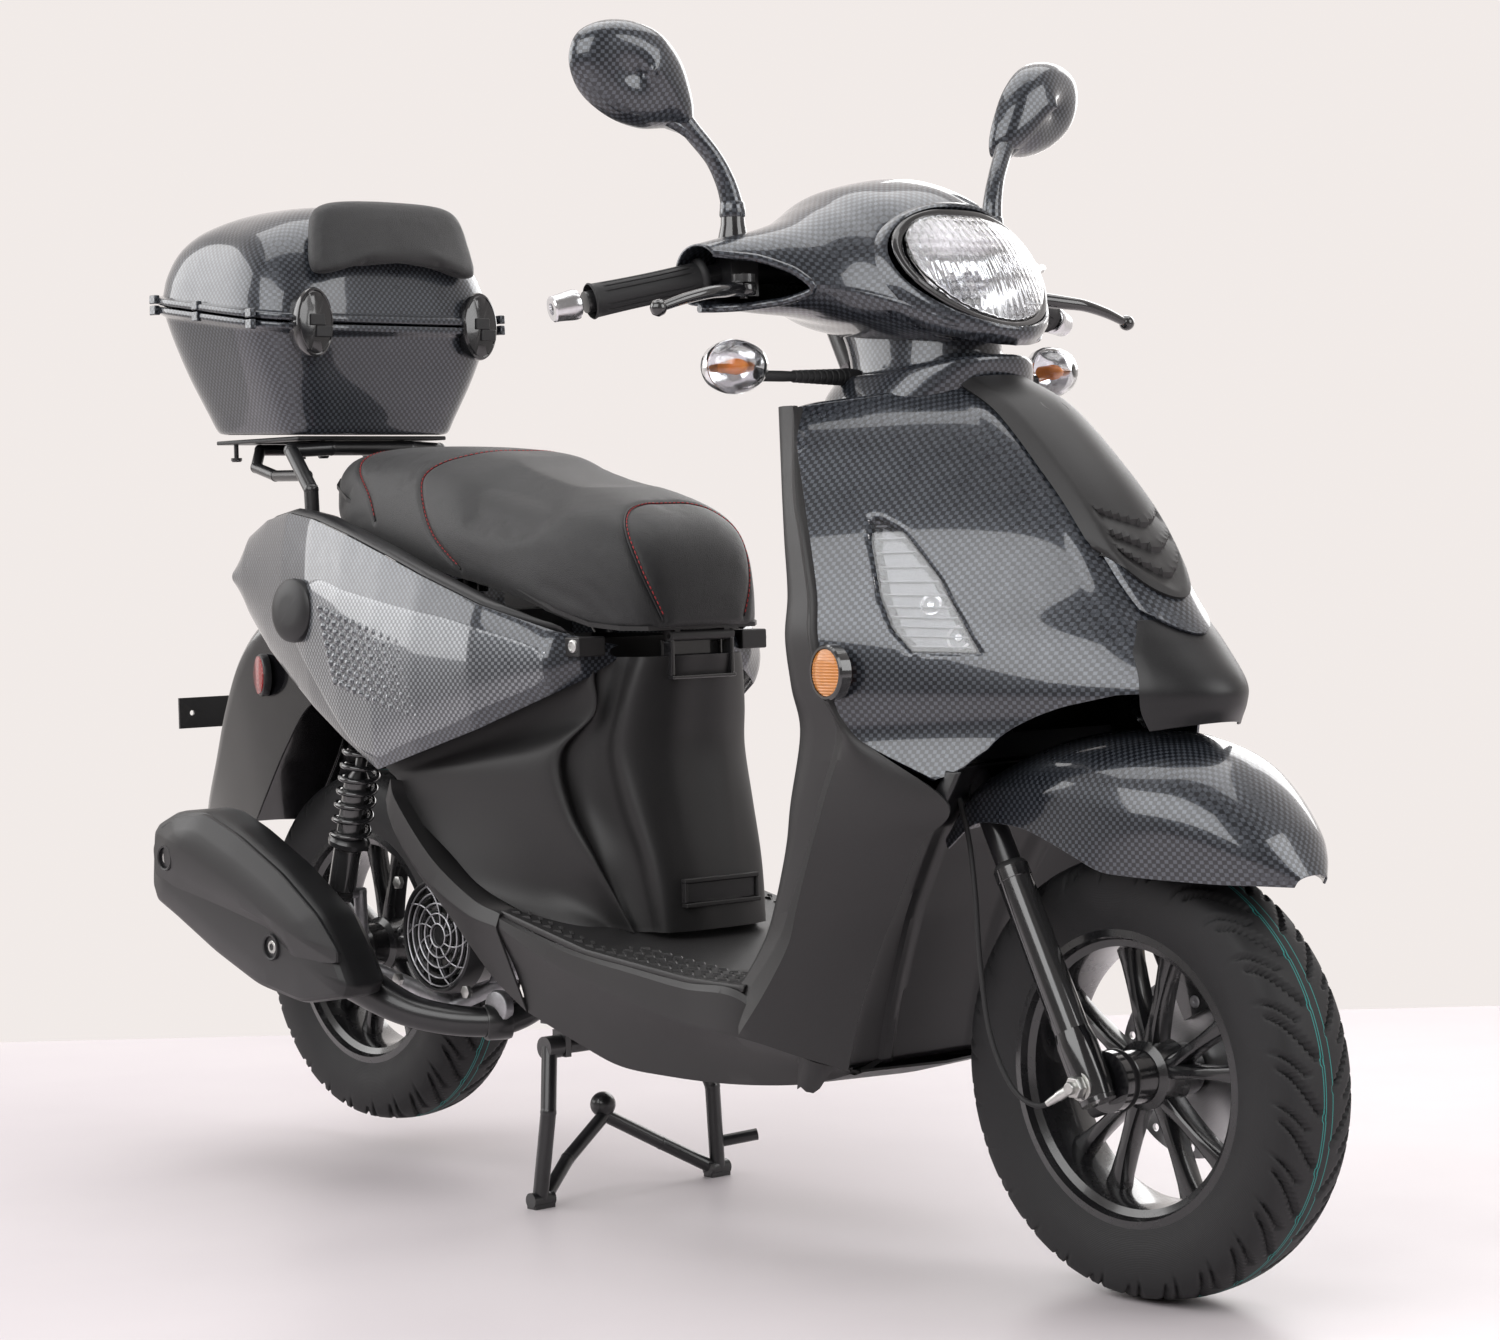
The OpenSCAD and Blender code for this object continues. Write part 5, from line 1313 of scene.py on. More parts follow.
SHOCK_TOP, SHOCK_FOOT = np.array([-416, -130, 600.0]), np.array([-500, -130, 332.0])
SHOCK_AXIS = (SHOCK_TOP - SHOCK_FOOT) / np.linalg.norm(SHOCK_TOP - SHOCK_FOOT)


def coil():
    u = np.cross(SHOCK_AXIS, [0, 1.0, 0])
    v = np.cross(SHOCK_AXIS, u)
    line = []
    for t in np.linspace(0, 1, 260):
        a = 2 * math.pi * (0.6 + 9.2 * t)
        rise = 64 + 168 * (t + 0.018 * math.sin(2 * math.pi * t))
        line.append(SHOCK_FOOT + SHOCK_AXIS * rise + 21.9 * (math.cos(a) * u + math.sin(a) * v))
    return tube(line, 3.4, n=12, samples=520)


piece("shock_coils", *coil(), GLOSS, "shock_upper", "gloss_black", ("shock_springs",), both=True)
upper = [lathe([(60, 12), (60, 16.5), (64, 24.5), (70, 25.5), (76, 22), (80, 14), (150, 13), (160, 7), (232, 7),
                (232, 18), (236, 26), (244, 26), (250, 20), (262, 12), (262, 0.1)], SHOCK_FOOT, SHOCK_AXIS, 48)]
upper.append(lathe([(-11, 6), (-11, 13), (-9, 14.5), (9, 14.5), (11, 13), (11, 6)], SHOCK_TOP, (0, 1, 0), 40))
piece("shock_rods", *join_parts(upper[1:]), GLOSS, "shock_upper", "bright_steel", ("shock_uppers",), both=True,
      sharp=35)
piece("shock_upper_cups", *upper[0], STEEL, "shock_upper", "bright_steel", both=True, sharp=35)
nuts = [lathe([(0, 0.1), (0, 9.5), (7, 9.5), (8, 8.5), (8, 0.1)], p + [0, -14, 0], (0, -1, 0), 6)
        for p in (SHOCK_TOP,)]
piece("shock_top_nuts", *join_parts(nuts), ZINC, "frame", "bright_steel", both=True, bevel=0.5)

# ---------- fan grille ----------

GRILLE_AT = (-330, -109, 292)
rings = []
for r in (14, 26, 38, 50, 60):
    rings.append(lathe([(0, r), (0.8, r + 0.9), (2.2, r + 0.9), (3, r), (2.2, r - 0.9), (0.8, r - 0.9)], GRILLE_AT,
                       (0, -1, 0), 96))
for k in range(10):
    a = 2 * math.pi * k / 10
    arc = [(GRILLE_AT[0] + r * math.cos(a + (r - 14) * 0.014), GRILLE_AT[1] - 1.4,
            GRILLE_AT[2] + r * math.sin(a + (r - 14) * 0.014)) for r in (14, 26, 38, 50, 62)]
    rings.append(tube(arc, 1.0, n=8, samples=24))
piece("fan_grille", *join_parts(rings), ALLOY, "power_unit", "gloss_black", sharp=40)
shroud = lathe([(-20, 61), (-20, 70), (-4, 69), (4, 67), (5.5, 64.5), (4, 62.5), (-4, 61)], GRILLE_AT, (0, -1, 0), 120)
piece("fan_shroud_ring", *shroud, DEEP, "power_unit", "gloss_black", sharp=35)
plug = lathe([(-8, 0.1), (-8, 19), (0, 20), (4, 18), (6, 12), (6, 0.1)], (-236, -96, 214), (0.1, -1, 0), 40)
case_bolts = [lathe([(0, 0.1), (0, 7), (1, 8), (6, 8), (7, 6.5), (7, 0.1)], (x, -118, z), (0, -1, 0), 6)
              for x, z in ((-392, 352), (-268, 352), (-262, 232), (-398, 236))]
piece("crankcase_plug", *plug, ALLOY, "power_unit", "cast_alloy", bevel=0.8)
piece("crankcase_bolts", *join_parts(case_bolts), ZINC, "power_unit", "cast_alloy", bevel=0.4)

# ---------- nacelle ----------

# Profiles of the nacelle at stations across: y, then (x, z) from the front low edge over the top and back
POD = {
    0: [(523, 948), (512, 975), (472, 1040), (436, 1092), (395, 1114), (345, 1120), (285, 1113), (236, 1088),
        (216, 1050), (226, 1005), (280, 966), (380, 948), (470, 940)],
    60: [(514, 955), (505, 978), (468, 1036), (432, 1082), (392, 1103), (345, 1110), (288, 1103), (242, 1079),
         (224, 1048), (232, 1008), (282, 970), (376, 952), (462, 948)],
    100: [(470, 976), (468, 992), (446, 1032), (414, 1064), (380, 1083), (345, 1090), (300, 1085), (262, 1066),
          (246, 1042), (252, 1012), (288, 982), (360, 966), (430, 964)],
    132: [(424, 992), (426, 1003), (412, 1031), (392, 1053), (368, 1068), (342, 1074), (310, 1071), (280, 1058),
          (262, 1036), (266, 1012), (292, 988), (344, 974), (396, 978)],
    170: [(392, 998), (395, 1007), (386, 1030), (373, 1047), (356, 1058), (336, 1062), (312, 1060), (292, 1051),
          (278, 1034), (278, 1012), (294, 991), (330, 978), (368, 983)],
    205: [(372, 998), (375, 1007), (368, 1028), (357, 1043), (342, 1052), (325, 1055), (306, 1052), (291, 1044),
          (281, 1030), (280, 1012), (290, 994), (318, 982), (350, 985)],
    236: [(352, 998), (355, 1007), (350, 1024), (341, 1037), (328, 1045), (313, 1047), (300, 1044), (290, 1037),
          (284, 1026), (283, 1010), (289, 996), (308, 986), (334, 988)],
}
LAMP_AT = np.array([488.0, 0, 1017.0])
LAMP_OUT = np.array([0.83, 0, 0.558])
LAMP_UP = np.array([-0.558, 0, 0.83])


def lamp_outline(n=120):
    """Headlamp outline in its own plane: broad above, drawn to a rounded chin below."""
    half = [(0, 66), (34, 65), (62, 58), (81, 43), (88, 22), (83, -6), (66, -34), (44, -54), (20, -65), (0, -68)]
    line = smooth(half, n // 2 + 1)
    return np.concatenate([line, line[-2:0:-1] * [-1, 1]])


def lamp_point(a, b, out):
    return LAMP_AT + np.array([0, a, 0]) + LAMP_UP * b + LAMP_OUT * out


def lamp_ring(scale, out, crown=0.0):
    return [lamp_point(a * scale, b * scale, out - crown * (a * a * scale * scale) / 9400.0)
            for a, b in lamp_outline()]


def nacelle_grid(n_across=121, n_round=96):
    ys = sorted(POD)
    stations = [[(x, -y, z) for x, z in POD[y]] for y in reversed(ys[1:])] + [
        [(x, y, z) for x, z in POD[y]] for y in ys]
    closed = [row + row[:2] for row in stations]
    dense = smooth(closed, n_across)
    rows = []
    for row in dense:
        ring = smooth(row, (len(row) - 1) * 12 + 1)[12 // 2: -(12 - 12 // 2)]
        rows.append(ring)
    return np.array(rows)


def mouth_share(y, z):
    """Above zero inside the scoop round the grip's inner end."""
    u = abs(y)
    top = float(np.interp(u, [158, 172, 200, 236], [1001, 1018, 1030, 1036]))
    low = float(np.interp(u, [158, 172, 200, 236], [995, 987, 983, 982]))
    return min(top - z, z - low, (u - 158) * 1.2)


def nacelle():
    grid = nacelle_grid()
    m, n = grid.shape[:2]
    outline = lamp_outline() * 1.14
    angle = np.arctan2(outline[:, 1], outline[:, 0])
    reach = np.hypot(outline[:, 0], outline[:, 1])
    order = np.argsort(angle)
    faces = []
    for f in grid_faces(m, n, ring=True):
        p = grid.reshape(-1, 3)[list(f)].mean(axis=0)
        d = p - LAMP_AT
        a, b = d[1], d @ LAMP_UP
        limit = np.interp(math.atan2(b, a), angle[order], reach[order], period=2 * math.pi)
        in_lamp = d @ LAMP_OUT > -46 and math.hypot(a, b) < limit
        in_mouth = p[0] > 318 and mouth_share(p[1], p[2]) > 0
        if not in_lamp and not in_mouth:
            faces.append(f[::-1])
    piece("nacelle_shell", grid, faces, CARBON, "steering", "carbon_gloss", ("nacelle",), thick=2.6, sharp=60,
          even=False)
    lips = []
    for side in (-1, 1):
        rim = []
        for u, edge in [(236, "top"), (218, "top"), (200, "top"), (182, "top"), (170, "top"), (160, "top"),
                        (157, "mid"), (160, "low"), (170, "low"), (182, "low"), (200, "low"), (218, "low"),
                        (236, "low")]:
            top = float(np.interp(u, [158, 172, 200, 236], [1001, 1018, 1030, 1036]))
            low = float(np.interp(u, [158, 172, 200, 236], [995, 987, 983, 982]))
            z = {"top": top, "low": low, "mid": (top + low) / 2}[edge]
            near = grid[:, :, :].reshape(-1, 3)
            near = near[near[:, 0] > 318]
            best = near[np.argmin((near[:, 1] - side * u) ** 2 + (near[:, 2] - z) ** 2)]
            rim.append((best[0] + 0.5, side * u, z))
        lips.append(tube(rim, 4.2, n=12, samples=90))
    piece("nacelle_scoop_lips", *join_parts(lips), CARBON, "steering", "carbon_gloss", sharp=60)


nacelle()

bezel = [lamp_ring(1 + d / 92, out, 16) for d, out in ((0, 0), (1.5, 3.2), (6, 4.6), (10.5, 4.2), (12, 2.6))]
sheet_piece("headlight_bezel", bezel, GLOSS, "steering", "gloss_black", ring=True, thick=2.0, sharp=35)
rim = [lamp_ring(1 + d / 92, out, 18 + d * 0.6) for d, out in ((12.2, 1), (13, 6.6), (16, 8.2), (20, 7.2), (25, 1.5),
                                                               (30, -9))]
sheet_piece("headlight_rim", rim, CARBON, "steering", "carbon_gloss", ring=True, thick=2.0, sharp=45)


def lamp_dome(name, material, slot, rise, base, steps, nodes=(), edge=1.0, power=2.0, flutes=0.0, **more):
    rings = []
    for k in np.linspace(edge, 0.02, steps):
        ring = np.array(lamp_ring(k, base + rise * (1 - (k / edge) ** power), 16 * (1 - 0.3 * k)))
        if flutes:
            ring += np.outer(np.cos(ring[:, 1] * 2 * math.pi / 17.0) * flutes * k, LAMP_OUT)
        rings.append(ring)
    grid = np.array(rings)
    faces = grid_faces(*grid.shape[:2], ring=True) + [tuple((steps - 1) * grid.shape[1] + j
                                                            for j in range(grid.shape[1]))]
    piece(name, grid, faces, material, "steering", slot, nodes, **more)


lamp_dome("headlight_lens", FLUTED, "clear_lens", 13, 2, 26, ("headlight",), thick=2.2, sharp=70)
lamp_dome("headlight_reflector", CHROME, "clear_lens", -46, -1, 40, edge=0.985, power=2.6, flutes=1.6, sharp=70)
bulb_axis = LAMP_OUT
bulb_at = lamp_point(0, -4, -44)
piece("headlight_bulb_shield", *lathe([(0, 0.1), (0, 26), (6, 27), (8, 25), (5, 20), (22, 17), (27, 15), (27, 13),
                                       (22, 12), (22, 0.1)], bulb_at, bulb_axis, 64), BRIGHT, "steering",
      "clear_lens", sharp=35)


def dial():
    """Plain speedometer in the rider's side of the nacelle, with generic ticks."""
    up = np.array([-0.50, 0, 0.866])
    at = np.array([256.0, 0, 1084.0])
    ring = lathe([(-6, 46), (3, 47), (6, 44), (5, 40), (-2, 39), (-6, 39)], at, up, 80)
    piece("dial_bezel", *ring, GLOSS, "steering", "carbon_gloss", sharp=35)
    piece("dial_glass", *lathe([(1.5, 0.1), (1.5, 39.5), (3, 39.5), (4.2, 20), (4.6, 0.1)], at, up, 64), CLEAR,
          "steering", "clear_lens")
    piece("dial_face", *lathe([(-3, 0.1), (-3, 39.2), (-1.5, 39.2), (-1.4, 0.1)], at, up, 64), DEEP, "steering",
          "carbon_gloss")
    ticks = []
    right = np.array([0, 1.0, 0])
    away = np.cross(right, up)
    for k in range(21):
        a = math.radians(220 - 13 * k)
        reach = 27 if k % 2 else 24
        for r in (reach, 35):
            pass
        p = at + (right * math.cos(a) + away * math.sin(a)) * reach - up * 1.0
        q = at + (right * math.cos(a) + away * math.sin(a)) * 35 - up * 1.0
        ticks.append(tube([p, q], 0.7, n=6, samples=2))
    piece("dial_ticks", *join_parts(ticks), PALE, "steering", "carbon_gloss")
    needle = tube([at - away * 8 - up * 0.2, at + (away + right * -0.9) * 18 - up * 0.2], [1.6, 0.6], n=8, samples=2)
    piece("dial_needle", *needle, THREAD, "steering", "carbon_gloss")


PALE = plastic("pale_print", (0.75, 0.76, 0.78), 0.5)
dial()


# ---------- bars, grips and levers ----------

BAR_IN = np.array([302.0, 190.0, 1020.0])
BAR_OUT = np.array([257.0, 333.0, 990.0])
BAR_AXIS = (BAR_OUT - BAR_IN) / np.linalg.norm(BAR_OUT - BAR_IN)


def grip_mesh(side):
    start = BAR_IN + 0.14 * (BAR_OUT - BAR_IN)
    length = np.linalg.norm(BAR_OUT - BAR_IN) * 0.825
    along = np.concatenate([[0, 0.5, 3, 6.5, 8, 9], np.linspace(12, length - 12, 40), [length - 9, length - 6.5,
                            length - 5, length - 1.5, length]])
    axis = BAR_AXIS
    across = np.cross(axis, [0, 0, 1.0])
    across /= np.linalg.norm(across)
    up = np.cross(across, axis)
    rows = []
    a = np.linspace(0, 2 * math.pi, 192, endpoint=False)
    for d in along:
        if d < 8:
            r = 21.0 - 0.12 * (d - 3.5) ** 2
        elif d > length - 6:
            r = 18.8 - 0.25 * (d - length + 2.5) ** 2
        else:
            r = 17.4 - 1.2 * math.sin(math.pi * d / length)
        ribbed = 1.0 if 16 < d < length - 14 else 0.0
        radius = r - ribbed * 1.1 * (np.cos(a * 16) > 0.72) * (np.abs(np.sin(a)) > 0.35)
        rows.append(start + axis * d + radius[:, None] * (np.cos(a)[:, None] * across + np.sin(a)[:, None] * up))
    v = np.array(rows) * [1, side, 1]
    faces = grid_faces(len(rows), 192, ring=True)
    return v, [f[::-1] for f in faces] if side < 0 else faces


piece("throttle_grip_rubber", *grip_mesh(-1), GRIP, "throttle", "rubber_black", ("throttle_grip",), sharp=45)
piece("left_grip_rubber", *grip_mesh(1), GRIP, "steering", "rubber_black", ("left_grip",), sharp=45)
weight = lathe([(0, 0.1), (0, 13), (1.5, 15), (5, 15.6), (9, 15.2), (22, 13.6), (27.5, 13.4), (29, 12), (29, 6),
                (24, 5), (24, 0.1)], np.array([254.5, 341, 988.5]) * [1, -1, 1] - BAR_AXIS * [1, -1, 1] * 1.0,
               BAR_AXIS * [1, -1, 1], 56)
piece("bar_end_weights", *weight, BRIGHT, "steering", "bright_steel", both=True, sharp=40)

LEVER_PIVOT = np.array([352.0, 205.0, 1000.0])


def lever(side, name, body):
    path = LEVER_PIVOT + np.array([[0, 0, 0], [6, 16, 0], [16, 40, -3], [22, 64, -6], [23, 96, -13], [22, 126, -22]])
    v, f = tube(path, [8.5, 8.0, 7.2, 6.4, 5.6, 4.6], n=20, samples=60)
    centre = path.mean(axis=0)[2]
    v[:, 2] = v[:, 2]
    ball = lathe([(-8.6, 0.1), (-7.6, 4), (-4.6, 7.4), (0, 8.7), (4.6, 7.4), (7.6, 4), (8.6, 0.1)],
                 LEVER_PIVOT + [22, 130, -23], [0, 1, 0], 32)
    hub = lathe([(-5.5, 4.2), (-5.5, 11.5), (-4, 12.6), (4, 12.6), (5.5, 11.5), (5.5, 4.2)], LEVER_PIVOT, [0, 0, 1], 40)
    v, f = join_parts([(v, f), ball, hub])
    v = np.array(v) * [1, side, 1]
    if side < 0:
        f = [q[::-1] for q in f]
    piece(name, v, f, GLOSS, body, "gloss_metal", ("brake_" + name,), sharp=50)


lever(-1, "lever_right", "lever_right")
lever(1, "lever_left", "lever_left")
clamp = [turned(block((298, 172, 1001), (340, 200, 1040), 0.9), np.array([318, 186, 1019]), 17, "Z")]
clamp.append(lathe([(0, 0.1), (0, 3.5), (3, 5), (6, 5), (6, 0.1)], [352, 205, 1007], [0, 0, 1], 6))
piece("lever_clamps", *join_parts(clamp), DEEP, "steering", "gloss_metal", both=True, bevel=2.0)


# ---------- mirrors ----------

MIRROR_HEAD = [(231, 1168), (248, 1172), (276, 1171), (308, 1180), (337, 1200), (349, 1226), (343, 1249), (322, 1261),
               (294, 1263), (266, 1254), (244, 1232), (231, 1204), (226, 1182)]


def mirror(side, name, body, node):
    loop = MIRROR_HEAD + MIRROR_HEAD[:3]
    line = smooth([(y, z) for y, z in loop], (len(loop) - 1) * 10 + 1)[10: -20]
    centre = np.array([290, 1216.0])
    line = centre + (line - centre) * 1.13
    tilt = 0.14

    def ring(scale, out):
        return [(286 + out - tilt * (y - centre[0]) * 0.9 + 0.10 * (z - centre[1]),
                 centre[0] + (y - centre[0]) * scale, centre[1] + (z - centre[1]) * scale) for y, z in line]

    rings = [ring(0.965, -9), ring(1.0, -8), ring(1.01, -4), ring(1.0, 1), ring(0.95, 9), ring(0.86, 15.5),
             ring(0.72, 20.5), ring(0.5, 24.5), ring(0.25, 26.5), ring(0.03, 27)]
    grid = np.array(rings)
    grid = smooth(grid, 40)
    m, n = grid.shape[:2]
    faces = grid_faces(m, n, ring=True) + [tuple((m - 1) * n + j for j in range(n))]
    stem = tube([(316, 186, 1080), (315.5, 187, 1092), (313, 192, 1112), (308, 203, 1136), (299, 222, 1162),
                 (291, 240, 1184), (288, 252, 1196)], [11.5, 11.2, 10.2, 9.2, 9.6, 12, 13.5], n=24, samples=60)
    fork = tube([(303, 214, 1152), (296, 236, 1166), (290, 258, 1178), (286, 272, 1192)], [6.0, 5.6, 6.4, 8.5], n=20,
                samples=40)
    boss = lathe([(0, 5.4), (0, 12.6), (2, 13.4), (14, 12.6), (16, 11), (16, 5.4)], [316, 186, 1076], [0, 0, 1], 40)
    v, f = join_parts([(grid, faces), stem, fork, boss])
    v = np.array(v) * [1, side, 1]
    if side > 0:
        f = [q[::-1] for q in f]
    piece(name + "_shell", v, f, CARBON, body, "carbon_gloss", (node,), sharp=45)
    glass = np.array([ring(0.955, -7.4), ring(0.5, -7.8), ring(0.02, -8.0)])
    gm, gn = glass.shape[:2]
    gf = grid_faces(gm, gn, ring=True) + [tuple((gm - 1) * gn + j for j in range(gn))]
    v = glass.reshape(-1, 3) * [1, side, 1]
    piece(name + "_glass", v, gf, CHROME, body, "clear_lens", sharp=60)


ferrule = lathe([(-30, 0.1), (-30, 17), (-26, 18), (-20, 17), (0, 12.5), (8, 12), (8, 0.1)], [316, 186, 1068], [0, 0, 1],
                48)
piece("mirror_ferrules", *ferrule, GLOSS, "steering", "gloss_metal", both=True, sharp=40)
mirror(-1, "mirror_right", "mirror_r", "mirror_right")
mirror(1, "mirror_left", "mirror_l", "mirror_left")

# ---------- padded pieces ----------


def near_line(points, line):
    """Distance of each point from a dense line of points."""
    best = np.full(len(points), 1e9)
    for p in line:
        best = np.minimum(best, ((points - p) ** 2).sum(axis=1))
    return np.sqrt(best)


def stuffed(name, parts, material, body, slot, node, voxel, cap, floor_z, seams=()):
    """Blows a closed shape up like a stitched cover over foam, then sinks its seams."""
    verts, faces = parts
    obj = piece(name, verts, faces, material, body, slot, (node,))
    shrink = obj.modifiers.new("remesh", "REMESH")
    shrink.mode = "VOXEL"
    shrink.voxel_size = voxel * MM
    shrink.use_smooth_shade = True

    def bake():
        graph = bpy.context.evaluated_depsgraph_get()
        mesh = bpy.data.meshes.new_from_object(obj.evaluated_get(graph))
        obj.modifiers.clear()
        obj.data = mesh
        return mesh

    mesh = bake()
    count = len(mesh.vertices)
    rest = np.empty(count * 3)
    mesh.vertices.foreach_get("co", rest)
    rest = rest.reshape(-1, 3)
    held = obj.vertex_groups.new(name="held")
    held.add([i for i in range(count) if rest[i, 2] < floor_z(rest[i, 0] / MM) * MM], 1.0, "REPLACE")
    cloth = obj.modifiers.new("cloth", "CLOTH")
    cloth.settings.use_pressure = True
    cloth.settings.uniform_pressure_force = 4.0
    cloth.settings.effector_weights.gravity = 0.0
    cloth.settings.tension_stiffness = 40
    cloth.settings.compression_stiffness = 40
    cloth.settings.bending_stiffness = 6.0
    cloth.settings.quality = 5
    cloth.settings.vertex_group_mass = "held"
    cloth.point_cache.frame_start = 1
    cloth.point_cache.frame_end = 20
    for frame_number in range(1, 21):
        bpy.context.scene.frame_set(frame_number)
    mesh = bake()
    obj.vertex_groups.clear()
    bpy.context.scene.frame_set(1)
    now = np.empty(count * 3)
    mesh.vertices.foreach_get("co", now)
    now = now.reshape(-1, 3)
    step = now - rest
    size = np.linalg.norm(step, axis=1, keepdims=True)
    now = rest + step * np.minimum(1, cap * MM / np.maximum(size, 1e-9))
    mesh.vertices.foreach_set("co", now.ravel())
    mesh.update()
    obj.modifiers.new("smooth", "SUBSURF").render_levels = 1
    obj.modifiers["smooth"].levels = 1
    mesh = bake()
    sewn = []
    for line in seams:
        tree = BVHTree.FromObject(obj, bpy.context.evaluated_depsgraph_get())
        found = [tree.find_nearest(Vector(p * MM)) for p in smooth(line, 260)]
        sewn.append((np.array([f[0] for f in found]) / MM, np.array([f[1] for f in found])))
    if sewn:
        count = len(mesh.vertices)
        now = np.empty(count * 3)
        normal = np.empty(count * 3)
        mesh.vertices.foreach_get("co", now)
        mesh.vertices.foreach_get("normal", normal)
        now, normal = now.reshape(-1, 3) / MM, normal.reshape(-1, 3)
        for line, _ in sewn:
            away = near_line(now, line)
            now = now - normal * (2.6 * np.exp(-((away / 4.2) ** 2)))[:, None]
        mesh.vertices.foreach_set("co", (now * MM).ravel())
        mesh.update()
    mesh.materials.clear()
    mesh.materials.append(material)
    mesh.polygons.foreach_set("use_smooth", [True] * len(mesh.polygons))
    return obj, sewn


# Sections of the seat cushion: x, top z, half width, base z, fullness of the shoulder
SEAT = [(42, 690, 50, 662, 0.80), (33, 738, 76, 656, 0.80), (12, 770, 97, 655, 0.80), (-24, 791, 114, 658, 0.80),
        (-70, 802, 127, 670, 0.80), (-123, 808, 133, 688, 0.80), (-200, 828, 135, 706, 0.79), (-262, 851, 134, 718, 0.80),
        (-330, 861, 130, 730, 0.81), (-400, 866, 124, 744, 0.81), (-470, 869, 114, 762, 0.80), (-524, 866, 98, 782, 0.78),
        (-548, 858, 84, 798, 0.76), (-561, 846, 70, 812, 0.7)]


def seat_section(x, top, half, base, full):
    h = top - base
    right = [(0, top), (0.3, top - 0.5), (0.55, top - 0.035 * h), (full, top - 0.13 * h), (0.93, top - 0.33 * h),
             (0.985, top - 0.58 * h), (1.0, top - 0.82 * h), (0.985, base + 2), (0.9, base - 3), (0.5, base - 3),
             (0, base - 3)]
    half_line = smooth([(x, -half * u, z) for u, z in right], 61)
    return np.concatenate([half_line, half_line[-2:0:-1] * [1, -1, 1]])


def seat_shape():
    rows = smooth([seat_section(*s) for s in SEAT], 110)
    m, n = rows.shape[:2]
    faces = grid_faces(m, n, ring=True)
    faces += [tuple(range(n))[::-1], tuple((m - 1) * n + j for j in range(n))]
    return rows, faces


def seat_base(x):
    return float(np.interp(-x, [-42, -33, 24, 123, 262, 400, 548], [664, 659, 660, 690, 720, 746, 800])) + 1


def across(half):
    """A seam from the right skirt over the middle to the left skirt."""
    half = [np.array(p, float) for p in half]
    return [*half, *[p * [1, -1, 1] for p in reversed(half[:-1])]]


SEAMS = [
    across([(40, -60, 662), (34, -72, 690), (26, -84, 724), (8, -86, 764), (-12, -66, 792), (-22, -34, 800),
            (-24, 0, 801)]),
    across([(-234, -140, 722), (-287, -138, 763), (-323, -130, 812), (-333, -116, 837), (-318, -92, 852),
            (-296, -56, 857), (-288, 0, 858)]),
    across([(-420, -128, 782), (-440, -124, 812), (-482, -106, 846), (-502, -60, 862), (-508, 0, 865)]),
]
seat_cover, sewn = stuffed("seat_cover", seat_shape(), VINYL, "seat", "seat_vinyl", "seat_cushion", 5.0, 9,
                           seat_base, SEAMS)


def stitching(name, lines, body, slot, gap=6.2, length=4.0, beside=2.6):
    stitches, cords = [], []
    for line, normal in lines:
        steps = np.linalg.norm(np.diff(line, axis=0), axis=1)
        run = np.concatenate([[0], np.cumsum(steps)])
        lift = line + normal * -1.2
        cords.append(tube(lift[::2], 1.3, n=8, samples=len(lift) // 2))
        for s in np.arange(gap, run[-1] - gap, gap):
            a, b = (np.array([np.interp(t, run, line[:, k]) for k in range(3)]) for t in (s, s + length))
            out = np.array([np.interp(s + length / 2, run, normal[:, k]) for k in range(3)])
            side = np.cross((b - a) / np.linalg.norm(b - a), out) * beside
            stitches.append(tube([a + side - out * 0.7, (a + b) / 2 + side + out * 0.1, b + side - out * 0.7],
                                 [0.35, 0.75, 0.35], n=6, samples=4))
    piece(name + "_thread", *join_parts(stitches), THREAD, body, slot)
    piece(name + "_piping", *join_parts(cords), DEEP, body, slot)


stitching("seat_seam", sewn, "seat", "seat_vinyl")

# Backrest pad on the case lid: outline as (y, z), crowned to the front
PAD = [(0, 1176), (60, 1175), (94, 1169), (110, 1153), (118, 1120), (121, 1094), (110, 1084), (60, 1090), (0, 1093)]


def pad_shape():
    half = smooth(PAD, 50)
    outline = np.concatenate([half, half[-2:0:-1] * [-1, 1]])
    centre = np.array([0, 1130.0])
    rings = []
    for scale, out in ((0.05, -19), (0.6, -19), (0.93, -18), (0.985, -12), (1.0, -3), (0.99, 5), (0.94, 11), (0.8, 14),
                       (0.5, 16), (0.05, 16.5)):
        ring = centre + (outline - centre) * scale
        rings.append([(-531 + out - 0.24 * (z - 1100) - (y / 120) ** 2 * 6, y, z) for y, z in ring])
    grid = np.array(rings)
    m, n = grid.shape[:2]
    faces = grid_faces(m, n, ring=True)
    faces += [tuple(range(n))[::-1], tuple((m - 1) * n + j for j in range(n))]
    return grid, [f[::-1] for f in faces]


stuffed("backrest_pad", pad_shape(), VINYL, "lid", "seat_vinyl", "case_backrest", 4.0, 7, lambda x: 0)

# ---------- speedometer cable ----------

CABLE_ROUTE = [(690, -117, 214), (668, -130, 200), (636, -133, 214), (606, -132, 262), (590, -128, 330),
               (583, -126, 400), (572, -122, 450), (556, -118, 490)]


def speedometer_cable():
    line = smooth(CABLE_ROUTE, 57)
    verts, faces = tube(line, 2.6, n=16, samples=len(line))
    obj = piece("speedometer_cable", verts, faces, RUBBER, "fork_lower", "rubber_black", ("speedo_cable",))
    ends = [lathe([(-4, 2.7), (-4, 5.2), (8, 5.2), (10, 4.4), (16, 3.9), (22, 2.9), (22, 2.7)], line[0],
                  line[2] - line[0], 24)]
    piece("speedometer_nut", *join_parts(ends), ZINC, "fork_lower", "bright_steel", sharp=30)


speedometer_cable()

# ---------- finishes of the CAD nodes that stay in view ----------

